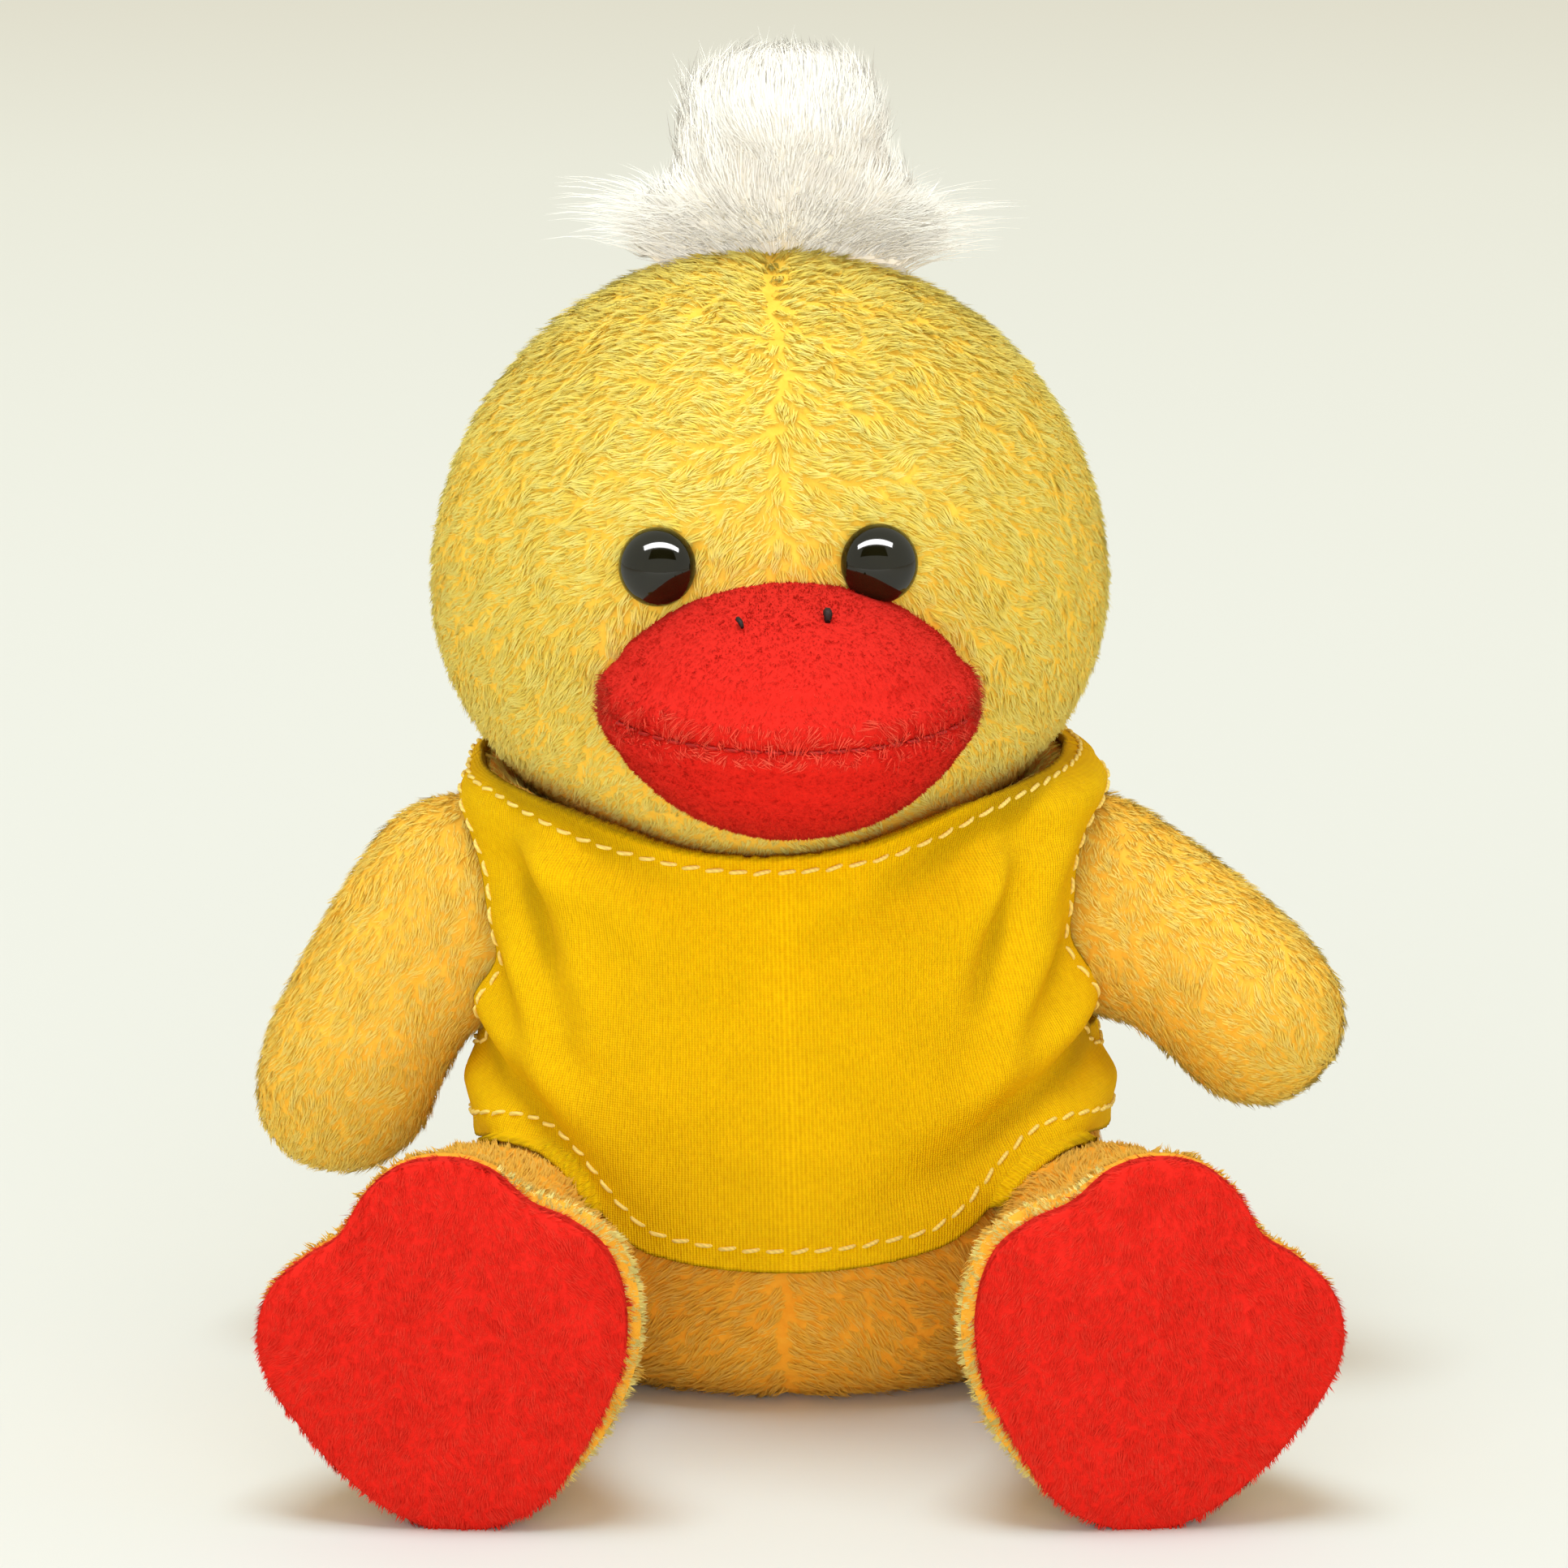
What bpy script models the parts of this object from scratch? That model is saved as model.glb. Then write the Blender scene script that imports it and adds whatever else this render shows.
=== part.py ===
# A seated plush duck in a knitted vest, in metres, facing -Y, resting on z = 0.
# The origin is on the flat of the seat. Left and right are the duck's own: its left is +X.
import math

import bmesh
import bpy
from mathutils import Matrix, Vector

MM = 0.001

# Cloth, thread and the air between neighbouring pieces
PLUSH_THICKNESS = 1.2 * MM
KNIT_THICKNESS = 0.9 * MM
CLEARANCE = 0.3 * MM
STUFFING_CLEARANCE = 0.5 * MM
JOINT_CLEARANCE = 0.6 * MM
STITCH_CLEARANCE = 0.45 * MM
THREAD_RADIUS = 0.2 * MM
CUT_OVERRUN = 6.0 * MM
REACH = 120.0 * MM
WELD_DISTANCE = 0.01 * MM

# Torso
TORSO_LEAN = 2.0 * MM
TORSO_CENTRE_Y = 0.5 * MM
TORSO_HALF_WIDTH = 33.3 * MM
TORSO_HALF_DEPTH = 30.5 * MM
TORSO_HEIGHT = 72.5 * MM
SEAT_CUT = 0.5 * MM
TORSO_ROUNDNESS = 2.3
# Towards both ends an outset fades out where the torso is narrower than this.
TORSO_FADE_SHARE = 0.25
# Each row is a share of the height, the half width and the half depth, from the seat up.
TORSO_SHARES = (
    (0.0, 0.0, 0.0),
    (0.0, 0.62, 0.64),
    (0.06, 0.89, 0.90),
    (0.17, 0.98, 0.985),
    (0.30, 1.0, 1.0),
    (0.43, 0.985, 0.995),
    (0.56, 0.95, 0.97),
    (0.69, 0.93, 0.925),
    (0.81, 0.925, 0.875),
    (0.91, 0.90, 0.82),
    (0.95, 0.0, 0.0),
)

# Neck: the head nods on a ball of stuffing that bulges through both skins
NECK_X = -1.0 * MM
NECK_HEIGHT = 60.0 * MM
NECK_BALL_RADIUS = 9.7 * MM
NECK_OPENING_RADIUS = 10.5 * MM
HEAD_TURN_DEG = 2.2

# Head, above and below its widest level
HEAD_ABOVE_NECK = 24.0 * MM
HEAD_HALF_WIDTH = 36.3 * MM
HEAD_HALF_DEPTH = 32.0 * MM
HEAD_RISE = 35.8 * MM
HEAD_DROP = 30.4 * MM
# The hollow in the shoulders leaves the head room to nod
BOWL_HALF_WIDTH = 36.2 * MM
BOWL_HALF_DEPTH = 39.5 * MM
BOWL_DEPTH = 33.6 * MM

# Hair tuft
TUFT_PATCH_RADIUS = 13.0 * MM
TUFT_PATCH_THICKNESS = 0.8 * MM
TUFT_BASE_RADIUS = 16.0 * MM
TUFT_HEIGHT = 24.0 * MM
TUFT_BASE_DROP = 5.5 * MM
# Each row is a share of the height and of the base radius, from the head up.
TUFT_SHARES = (
    (0.0, 0.0),
    (0.0, 0.70),
    (0.04, 0.95),
    (0.16, 1.0),
    (0.30, 0.88),
    (0.44, 0.78),
    (0.58, 0.75),
    (0.72, 0.73),
    (0.86, 0.65),
    (0.96, 0.42),
    (1.0, 0.0),
)

# Bill
BILL_OFF_CENTRE = 0.8 * MM
BILL_HALF_WIDTH = 19.4 * MM
BILL_LENGTH = 27.0 * MM
BILL_RISE = 12.8 * MM
BILL_DROP = 12.8 * MM
BILL_ROOT_Y = -30.0 * MM
MOUTH_ABOVE_NECK = 17.2 * MM
MOUTH_HALF_GAP = 0.55 * MM
MOUTH_INSIDE_HEAD_DEG = 24.0
NOSTRIL_SPACING = 8.8 * MM
NOSTRIL_Y = -43.0 * MM
NOSTRIL_LENGTH = 1.6 * MM
NOSTRIL_RADIUS = 0.45 * MM

# Eyes, as safety eyes: a dome, a shank through the skin and a washer behind it
EYE_LEFT_X = 10.9 * MM
EYE_LEFT_ABOVE_CENTRE = 8.5 * MM
EYE_RIGHT_X = -12.6 * MM
EYE_RIGHT_ABOVE_CENTRE = 7.7 * MM
EYE_RADIUS = 4.1 * MM
EYE_DOME_HEIGHT = 3.1 * MM
SHANK_RADIUS = 1.1 * MM
SHANK_LENGTH = 7.0 * MM
WASHER_RADIUS = 4.2 * MM
WASHER_THICKNESS = 1.0 * MM
WASHER_SAG = 0.4 * MM

# Arms, from the shoulder joint outwards
SHOULDER_HALF_SPACING = 33.8 * MM
SHOULDER_HEIGHT = 49.0 * MM
ARM_ROOT_RADIUS = 12.2 * MM
ARM_ROOT_HALF_THICKNESS = 9.4 * MM
ARM_LENGTH = 32.4 * MM
ARM_LEFT_FORWARD_DEG = 34.0
ARM_LEFT_DOWN_DEG = 24.0
ARM_RIGHT_FORWARD_DEG = 4.0
ARM_RIGHT_DOWN_DEG = 55.0
# Each row is a share of the arm's length, then shares of the root radius above and below
# the arm's line, then a share of the half thickness.
ARM_SHARES = (
    (0.0, 1.0, 1.0, 1.0),
    (0.17, 0.99, 0.80, 1.0),
    (0.34, 0.96, 0.62, 1.0),
    (0.52, 0.90, 0.64, 1.0),
    (0.70, 0.80, 0.72, 0.97),
    (0.86, 0.62, 0.62, 0.80),
    (0.96, 0.34, 0.34, 0.46),
    (1.0, 0.0, 0.0, 0.0),
)
# The part of an arm's rings, from its innermost point, that shapes its round root
ARM_ROOT_SHARE = 0.3
ARMHOLE_MARGIN = 1.0 * MM

# Legs, from the hip joint to the sole
HIP_HALF_SPACING = 31.0 * MM
HIP_CENTRE_X = 1.6 * MM
HIP_Y = -21.5 * MM
HIP_HEIGHT = 13.7 * MM
LEG_ROOT_RADIUS = 14.0 * MM
LEG_ROOT_HALF_WIDTH = 11.3 * MM
LEG_ROOT_SQUARENESS = 3.2
LEG_ROOT_RINGS = 4
LEG_LENGTH = 43.5 * MM
FOOT_CENTRE_HEIGHT = 19.0 * MM
LEG_LEFT_OUT_DEG = 6.0
LEG_RIGHT_OUT_DEG = 4.5
LEG_HOLE_MARGIN = 1.1 * MM
FOOT_HALF_WIDTH = 19.6 * MM
FOOT_HALF_HEIGHT = 19.7 * MM
FOOT_EDGE = 1.6 * MM
# Each row is a share of the leg's length, a share of the way from the round root to the
# lobed foot, and a share of the root radius that the round section has.
LEG_SHARES = (
    (0.0, 0.0, 1.0),
    (0.16, 0.0, 0.94),
    (0.32, 0.0, 0.88),
    (0.50, 0.05, 0.87),
    (0.66, 0.25, 0.90),
    (0.82, 0.66, 0.96),
    (0.94, 0.95, 1.0),
    (1.0, 1.0, 1.0),
)
# Each row is an angle round the sole from its top, outwards, and a share of its half size.
SOLE_SHARES = (
    (0.0, 0.99),
    (14.0, 0.98),
    (26.0, 0.92),
    (45.0, 0.81),
    (60.0, 0.88),
    (75.0, 0.98),
    (90.0, 1.0),
    (105.0, 0.96),
    (120.0, 0.905),
    (140.0, 0.90),
    (158.0, 0.94),
    (180.0, 1.0),
    (200.0, 0.99),
    (225.0, 0.945),
    (247.0, 0.945),
    (263.0, 0.975),
    (280.0, 1.01),
    (302.0, 1.04),
    (316.0, 0.99),
    (332.0, 0.91),
    (350.0, 0.97),
)
SOLE_THICKNESS = 2.0 * MM
SOLE_CROWN = 2.6 * MM
# How soon the sole's face and back reach its rim
SOLE_RIM_SHARE = 1.3

# Vest
HEM_FRONT_HEIGHT = 17.5 * MM
HEM_SIDE_RISE = 6.5 * MM
HEM_STITCH_INSET = 2.6 * MM
NECK_STITCH_INSET = 1.0 * MM
ARMHOLE_STITCH_INSET = 1.0 * MM
SIDE_SEAM_HALF_GAP = 0.2 * MM
FOLD_HEIGHT = 0.7 * MM
FOLD_HALF_TURN_DEG = 13.0
FOLD_HALF_SHARE = 0.08
# Each fold's two ends, as turns from the front in degrees and shares of the torso's rings
FOLD_END_SHARES = (
    (40.0, 0.69, 16.0, 0.60),
    (50.0, 0.57, 30.0, 0.52),
    (-42.0, 0.69, -16.0, 0.61),
    (-50.0, 0.58, -26.0, 0.52),
)
NECKLINE_SEARCH_SHARES = (0.5, 0.92)
SIDE_SEARCH_SHARES = (0.2, 0.92)
HEM_SEARCH_SHARES = (0.7, 0.1)
HEM_STEP_SHARE = 0.004
HALVINGS = 30

# Pellet pouch in the seat
POUCH_HALF_WIDTH = 13.5 * MM
POUCH_HALF_DEPTH = 12.0 * MM
POUCH_HALF_HEIGHT = 7.0 * MM
POUCH_Y = 5.0 * MM

FORM_SIDES = 26
FORM_RINGS = 16
INNER_SIDES = 22
INNER_RINGS = 14
LIMB_SIDES = 16
LIMB_RINGS = 12
FOOT_SIDES = 26
FILL_SIDES = 14
FILL_RINGS = 10
THREAD_POINTS = 44
HOLE_SIDES = 14


# Scene, collections and materials
def cleared_scene():
    for obj in list(bpy.data.objects):
        bpy.data.objects.remove(obj, do_unlink=True)


def new_collection(name):
    collection = bpy.data.collections.new(name)
    bpy.context.scene.collection.children.link(collection)
    return collection


def plain_material(name, colour, roughness, metallic=0.0):
    material = bpy.data.materials.new(name)
    material.use_nodes = True
    shader = material.node_tree.nodes["Principled BSDF"]
    shader.inputs["Base Color"].default_value = (*colour, 1.0)
    shader.inputs["Roughness"].default_value = roughness
    shader.inputs["Metallic"].default_value = metallic
    return material


cleared_scene()
DUCK = new_collection("plush_duck")
CUTTERS = new_collection("cutters")
CUTTERS.hide_render = True

YELLOW_PLUSH = plain_material("yellow_plush", (0.86, 0.60, 0.11), 0.9)
WHITE_FUR = plain_material("white_fur", (0.90, 0.90, 0.86), 0.8)
RED_PLUSH = plain_material("red_plush", (0.80, 0.03, 0.015), 0.9)
RED_THREAD = plain_material("red_thread", (0.45, 0.012, 0.01), 0.8)
DARK_THREAD = plain_material("dark_thread", (0.06, 0.01, 0.008), 0.8)
EYE_PLASTIC = plain_material("eye_plastic", (0.012, 0.011, 0.006), 0.06)
WASHER_PLASTIC = plain_material("washer_plastic", (0.80, 0.80, 0.78), 0.5)
AMBER_KNIT = plain_material("amber_knit", (0.88, 0.48, 0.01), 0.92)
CREAM_THREAD = plain_material("cream_thread", (0.90, 0.78, 0.35), 0.8)
STUFFING = plain_material("stuffing", (0.85, 0.85, 0.83), 1.0)
POUCH_CLOTH = plain_material("pouch_cloth", (0.75, 0.74, 0.70), 0.95)
PATCH_CLOTH = plain_material("patch_cloth", (0.82, 0.80, 0.72), 0.95)


# Objects
def add_object(name, mesh, material=None, parent=None, cutter=False):
    obj = bpy.data.objects.new(name, mesh)
    (CUTTERS if cutter else DUCK).objects.link(obj)
    obj.parent = parent
    if cutter:
        obj.hide_render = True
        obj.display_type = "WIRE"
    if material:
        mesh.materials.append(material)
    return obj


def joint_empty(name, location, rotation):
    empty = bpy.data.objects.new(name, None)
    DUCK.objects.link(empty)
    empty.matrix_world = Matrix.LocRotScale(location, rotation, None)
    bpy.context.view_layer.update()
    return empty


def mesh_of(name, form):
    """A closed mesh with faces out and smooth shading, from an edited form."""
    bmesh.ops.remove_doubles(form, verts=form.verts, dist=WELD_DISTANCE)
    bmesh.ops.recalc_face_normals(form, faces=form.faces)
    mesh = bpy.data.meshes.new(name)
    form.to_mesh(mesh)
    form.free()
    mesh.shade_smooth()
    return mesh


def shaped_ball(name, sides, rings, place):
    """A ball whose every point goes where place(share from the bottom, angle) says."""
    form = bmesh.new()
    bmesh.ops.create_uvsphere(form, u_segments=sides, v_segments=rings, radius=1)
    for vertex in form.verts:
        share = 0.5 + math.asin(max(-1, min(1, vertex.co.z))) / math.pi
        vertex.co = place(share, math.atan2(vertex.co.y, vertex.co.x))
    return mesh_of(name, form)


def half_axes_ball(name, sides, rings, centre, half_axes, drop=None):
    """An ellipsoid, whose lower half may have a height of its own."""
    form = bmesh.new()
    bmesh.ops.create_uvsphere(form, u_segments=sides, v_segments=rings, radius=1)
    for vertex in form.verts:
        height = half_axes[2] if vertex.co.z > 0 or drop is None else drop
        size = Vector((half_axes[0], half_axes[1], height))
        vertex.co = Vector(centre) + vertex.co * size
    return mesh_of(name, form)


def box_between(name, low, high):
    form = bmesh.new()
    bmesh.ops.create_cube(form, size=1)
    for vertex in form.verts:
        share = vertex.co + Vector((0.5, 0.5, 0.5))
        vertex.co = [a + (b - a) * s for a, b, s in zip(low, high, share)]
    return mesh_of(name, form)


def rod_between(name, start, end, radius, sides=HOLE_SIDES):
    start, end = Vector(start), Vector(end)
    form = bmesh.new()
    bmesh.ops.create_cone(
        form, cap_ends=True, segments=sides, radius1=radius, radius2=radius, depth=1
    )
    turn = (end - start).to_track_quat("Z", "Y")
    for vertex in form.verts:
        stretched = Vector((vertex.co.x, vertex.co.y, vertex.co.z * (end - start).length))
        vertex.co = (start + end) / 2 + turn @ stretched
    return mesh_of(name, form)


def boolean(obj, other, operation="DIFFERENCE"):
    modifier = obj.modifiers.new(other.name, "BOOLEAN")
    modifier.operation = operation
    modifier.object = other
    modifier.solver = "EXACT"


def cutter(name, mesh, parent=None):
    return add_object(name, mesh, parent=parent, cutter=True)


def thread_tube(name, points, radius, material, parent=None, closed=False):
    curve = bpy.data.curves.new(name, "CURVE")
    curve.dimensions = "3D"
    curve.bevel_depth = radius
    curve.bevel_resolution = 0
    curve.use_fill_caps = not closed
    spline = curve.splines.new("POLY")
    spline.points.add(len(points) - 1)
    for slot, point in zip(spline.points, points):
        slot.co = (*point, 1)
    spline.use_cyclic_u = closed
    curve.materials.append(material)
    obj = bpy.data.objects.new(name, curve)
    DUCK.objects.link(obj)
    obj.parent = parent
    return obj


# Smooth readings from a table of shares
def catmull(a, b, c, d, s):
    square = 2 * a - 5 * b + 4 * c - d
    cube = 3 * b - a - 3 * c + d
    return (2 * b + (c - a) * s + square * s**2 + cube * s**3) / 2


def read_shares(rows, share):
    """The row that lies this share of the way down a table, smoothed between its rows."""
    place = max(0, min(1, share)) * (len(rows) - 1)
    first = min(int(place), len(rows) - 2)
    near = [rows[max(0, min(len(rows) - 1, first + step))] for step in (-1, 0, 1, 2)]
    return [catmull(*values, place - first) for values in zip(*near)]


def rounded(angle, roundness):
    """A unit superellipse: roundness 2 is a circle, and more is squarer."""
    power = 2 / roundness
    across, along = math.cos(angle), math.sin(angle)
    return (
        math.copysign(abs(across) ** power, across),
        math.copysign(abs(along) ** power, along),
    )


# Torso form, which the torso's skin and stuffing and the vest all follow
def torso_place(outset):
    def place(share, angle):
        height, width, depth = read_shares(TORSO_SHARES, share)
        across, along = rounded(angle, TORSO_ROUNDNESS)
        open_end = min(1, width / TORSO_FADE_SHARE)
        x = TORSO_LEAN * (1 - height) + across * (width * TORSO_HALF_WIDTH + outset * open_end)
        y = TORSO_CENTRE_Y + along * (depth * TORSO_HALF_DEPTH + outset * open_end)
        z = (TORSO_HEIGHT + 2 * outset) * height - outset - SEAT_CUT
        return Vector((x, y, max(z, -outset if outset < 0 else 0)))

    return place


def torso_mesh(name, outset, sides=FORM_SIDES, rings=FORM_RINGS):
    return shaped_ball(name, sides, rings, torso_place(outset))


NECK_PIVOT = Vector((NECK_X, 0, NECK_HEIGHT))
HEAD_CENTRE = Vector((0, 0, HEAD_ABOVE_NECK))
HEAD_TURN = Matrix.Rotation(math.radians(HEAD_TURN_DEG), 3, "Z").to_quaternion()
NECK = joint_empty("neck_joint", NECK_PIVOT, HEAD_TURN)


def bowl_half_axes(outset):
    return (BOWL_HALF_WIDTH + outset, BOWL_HALF_DEPTH + outset, BOWL_DEPTH + outset)


def bowl_mesh(name, outset):
    centre = NECK_PIVOT + HEAD_CENTRE
    return half_axes_ball(name, FORM_SIDES, FORM_RINGS, centre, bowl_half_axes(outset))


def above_bowl_edge(point, inset):
    """Over 1 where a point lies farther than inset outside the hollow for the head."""
    offset = point - NECK_PIVOT - HEAD_CENTRE
    return math.sqrt(sum((offset[i] / size) ** 2 for i, size in enumerate(bowl_half_axes(inset))))


# Shoulder joints: each turns about a level line square to its arm
def shoulder(side):
    forward = ARM_LEFT_FORWARD_DEG if side > 0 else ARM_RIGHT_FORWARD_DEG
    down = ARM_LEFT_DOWN_DEG if side > 0 else ARM_RIGHT_DOWN_DEG
    place = Vector((side * SHOULDER_HALF_SPACING, 0, SHOULDER_HEIGHT))
    yaw = math.radians(-forward if side > 0 else 180 + forward)
    turn = Matrix.Rotation(yaw, 3, "Z") @ Matrix.Rotation(math.radians(down), 3, "Y")
    return place, turn.to_quaternion()


def shoulder_root_mesh(name, outset, sides=LIMB_SIDES, rings=LIMB_RINGS):
    """The round root of an arm, in its joint's frame, with the joint's axis along Y."""
    radius = ARM_ROOT_RADIUS + outset
    size = (radius, radius, ARM_ROOT_HALF_THICKNESS + outset)
    mesh = half_axes_ball(name, sides, rings, (0, 0, 0), size)
    mesh.transform(Matrix.Rotation(math.pi / 2, 4, "X"))
    return mesh


def arm_place(inset):
    """An arm along +X in its joint's frame. Its bottom pole is the root's innermost point."""

    def place(share, angle):
        across, along = math.cos(angle), math.sin(angle)
        radius = ARM_ROOT_RADIUS - inset
        half = ARM_ROOT_HALF_THICKNESS - inset
        if share < ARM_ROOT_SHARE:
            # a quarter turn from the innermost point to the widest
            bend = share / ARM_ROOT_SHARE * math.pi / 2
            ring = math.sin(bend)
            return Vector((-radius * math.cos(bend), half * ring * across, radius * ring * along))
        way = (share - ARM_ROOT_SHARE) / (1 - ARM_ROOT_SHARE)
        out, above, below, thick = read_shares(ARM_SHARES, way)
        edge = above if along > 0 else below
        return Vector((out * (ARM_LENGTH - inset), thick * half * across, edge * radius * along))

    return place


def arm_mesh(name, inset, sides=LIMB_SIDES, rings=LIMB_RINGS):
    return shaped_ball(name, sides, rings, arm_place(inset))


# Hip joints: each turns about a level line across the body
def hip(side):
    place = Vector((HIP_CENTRE_X + side * HIP_HALF_SPACING, HIP_Y, HIP_HEIGHT))
    out = LEG_LEFT_OUT_DEG if side > 0 else -LEG_RIGHT_OUT_DEG
    return place, Matrix.Rotation(math.radians(out), 3, "Z").to_quaternion()


def hip_root_mesh(name, outset):
    """The root of a leg, round about the joint's X axis and squarer across it."""

    def place(share, angle):
        level = math.pi * (share - 0.5)
        ring, end = rounded(level, LEG_ROOT_SQUARENESS)
        radius = (LEG_ROOT_RADIUS + outset) * ring
        across = (LEG_ROOT_HALF_WIDTH + outset) * end
        return Vector((across, radius * math.cos(angle), radius * math.sin(angle)))

    return shaped_ball(name, LIMB_SIDES, LIMB_RINGS, place)


def sole_point(angle, side, inset):
    """A point of the lobed outline, seen along the leg, at this angle from its top."""
    turn = math.degrees(angle) % 360
    starts = [row[0] for row in SOLE_SHARES] + [360.0]
    shares = [row[1] for row in SOLE_SHARES]
    first = max(i for i in range(len(SOLE_SHARES)) if starts[i] <= turn)
    near = [shares[(first + step) % len(shares)] for step in (-1, 0, 1, 2)]
    share = catmull(*near, (turn - starts[first]) / (starts[first + 1] - starts[first]))
    return (
        side * math.sin(angle) * (share * FOOT_HALF_WIDTH - inset),
        math.cos(angle) * (share * FOOT_HALF_HEIGHT - inset),
    )


def leg_place(inset, side, overrun=0):
    """A leg along -Y in its joint's frame. Its bottom pole is the root's rearmost point."""
    end_share = 1 - 1 / LIMB_RINGS
    split = LEG_ROOT_RINGS / LIMB_RINGS
    radius = LEG_ROOT_RADIUS - inset
    half = LEG_ROOT_HALF_WIDTH - inset
    floor = inset - HIP_HEIGHT
    rise = FOOT_CENTRE_HEIGHT - HIP_HEIGHT

    def root_section(back, ring, angle):
        """A slice of the root, round about X, at this share of its radius behind the joint."""
        up = ring * math.sin(angle)
        off_axis = min(1, math.hypot(back, up))
        across = (1 - off_axis**LEG_ROOT_SQUARENESS) ** (1 / LEG_ROOT_SQUARENESS)
        return math.copysign(across * half, math.cos(angle)), up * radius

    def place(share, angle):
        if share < split:
            bend = share / split * math.pi / 2
            x, z = root_section(math.cos(bend), math.sin(bend), angle)
            return Vector((x, radius * math.cos(bend), max(z, floor)))
        way = min(1, (share - split) / (end_share - split))
        out, lobed, size = read_shares(LEG_SHARES, way)
        x, z = root_section(0, 1, angle)
        foot_x, foot_z = sole_point(math.atan2(side * math.cos(angle), math.sin(angle)), side, inset)
        x = (1 - lobed) * size * x + lobed * foot_x
        z = (1 - lobed) * size * z + lobed * (foot_z + rise)
        point = 0
        if share > end_share + (1 - end_share) / 2:
            x, z, point = 0, rise, overrun
        return Vector((x, -out * (LEG_LENGTH + overrun) - point, max(z, floor)))

    return place


def leg_mesh(name, inset, side, overrun=0, sides=FOOT_SIDES):
    return shaped_ball(name, sides, LIMB_RINGS, leg_place(inset, side, overrun))


def sole_mesh(name, side):
    """A lobed panel with a flat back and a crowned face, at the end of its leg."""
    rise = FOOT_CENTRE_HEIGHT - HIP_HEIGHT
    back = -LEG_LENGTH - CLEARANCE

    def place(share, angle):
        reach = min(1, SOLE_RIM_SHARE * (1 - abs(2 * share - 1)))
        x, z = sole_point(math.pi / 2 - angle, side, FOOT_EDGE)
        front = 0 if share <= 0.5 else SOLE_THICKNESS + SOLE_CROWN * (1 - reach**2)
        return Vector((x * reach, back - front, max(rise + z * reach, -HIP_HEIGHT)))

    return shaped_ball(name, FOOT_SIDES, FILL_RINGS, place)


# Cutters shared by the torso's pieces and the vest
def limb_cutters(name, outset):
    cutters = []
    for side, word in ((1, "left"), (-1, "right")):
        shoulder_root = shoulder_root_mesh(name, outset)
        cutters.append(cutter(f"{name}_shoulder_{word}", shoulder_root, SHOULDERS[side]))
        hip_root = hip_root_mesh(name, outset)
        cutters.append(cutter(f"{name}_hip_{word}", hip_root, HIPS[side]))
    return cutters


SHOULDERS, HIPS = {}, {}
for side, word in ((1, "left"), (-1, "right")):
    SHOULDERS[side] = joint_empty(f"shoulder_joint_{word}", *shoulder(side))
    HIPS[side] = joint_empty(f"hip_joint_{word}", *hip(side))

# Torso skin, open at the neck
torso_skin = add_object("torso_skin", torso_mesh("torso_skin", 0), YELLOW_PLUSH)
boolean(torso_skin, cutter("torso_bowl", bowl_mesh("torso_bowl", 0)))
inner_form = torso_mesh("torso_inside", -PLUSH_THICKNESS, INNER_SIDES)
inner = cutter("torso_inside", inner_form)
boolean(inner, cutter("torso_bowl_inside", bowl_mesh("torso_bowl_inside", PLUSH_THICKNESS)))
for limb in limb_cutters("torso_inside", JOINT_CLEARANCE + PLUSH_THICKNESS):
    boolean(inner, limb)
boolean(torso_skin, inner)
for limb in limb_cutters("torso_outside", JOINT_CLEARANCE):
    boolean(torso_skin, limb)
BOWL_BOTTOM = NECK_PIVOT + HEAD_CENTRE - Vector((0, 0, BOWL_DEPTH))
opening_down = Vector((0, 0, PLUSH_THICKNESS + CUT_OVERRUN))
opening_up = Vector((0, 0, CUT_OVERRUN))
opening_ends = (BOWL_BOTTOM - opening_down, BOWL_BOTTOM + opening_up)
opening = rod_between("neck_opening", *opening_ends, NECK_BALL_RADIUS)
boolean(torso_skin, cutter("neck_opening", opening))

# Torso stuffing, which comes up through the neck opening and carries the head
FILL_INSET = PLUSH_THICKNESS + STUFFING_CLEARANCE
torso_fill = torso_mesh("torso_stuffing", -FILL_INSET, INNER_SIDES, FORM_RINGS)
torso_stuffing = add_object("torso_stuffing", torso_fill, STUFFING)
boolean(torso_stuffing, cutter("stuffing_bowl", bowl_mesh("stuffing_bowl", FILL_INSET)))
for limb in limb_cutters("stuffing", FILL_INSET + JOINT_CLEARANCE):
    boolean(torso_stuffing, limb)
plug_top = BOWL_BOTTOM + Vector((0, 0, CLEARANCE))
plug = rod_between("neck_plug", BOWL_BOTTOM - opening_down, plug_top, NECK_BALL_RADIUS - CLEARANCE)
boolean(torso_stuffing, cutter("neck_plug", plug), "UNION")
ball_size = NECK_BALL_RADIUS + CLEARANCE
socket = half_axes_ball("neck_socket", FILL_SIDES, FILL_RINGS, NECK_PIVOT, (ball_size,) * 3)
boolean(torso_stuffing, cutter("neck_socket", socket))


def pouch_mesh(name, outset):
    centre = (TORSO_LEAN, POUCH_Y, PLUSH_THICKNESS + CLEARANCE + POUCH_HALF_HEIGHT)
    size = (POUCH_HALF_WIDTH + outset, POUCH_HALF_DEPTH + outset, POUCH_HALF_HEIGHT + outset)
    return half_axes_ball(name, FILL_SIDES, FILL_RINGS, centre, size)


# Pellet pouch, the weight in the seat
add_object("pellet_pouch", pouch_mesh("pellet_pouch", 0), POUCH_CLOTH)
boolean(torso_stuffing, cutter("pouch_pocket", pouch_mesh("pouch_pocket", CLEARANCE)))


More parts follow.
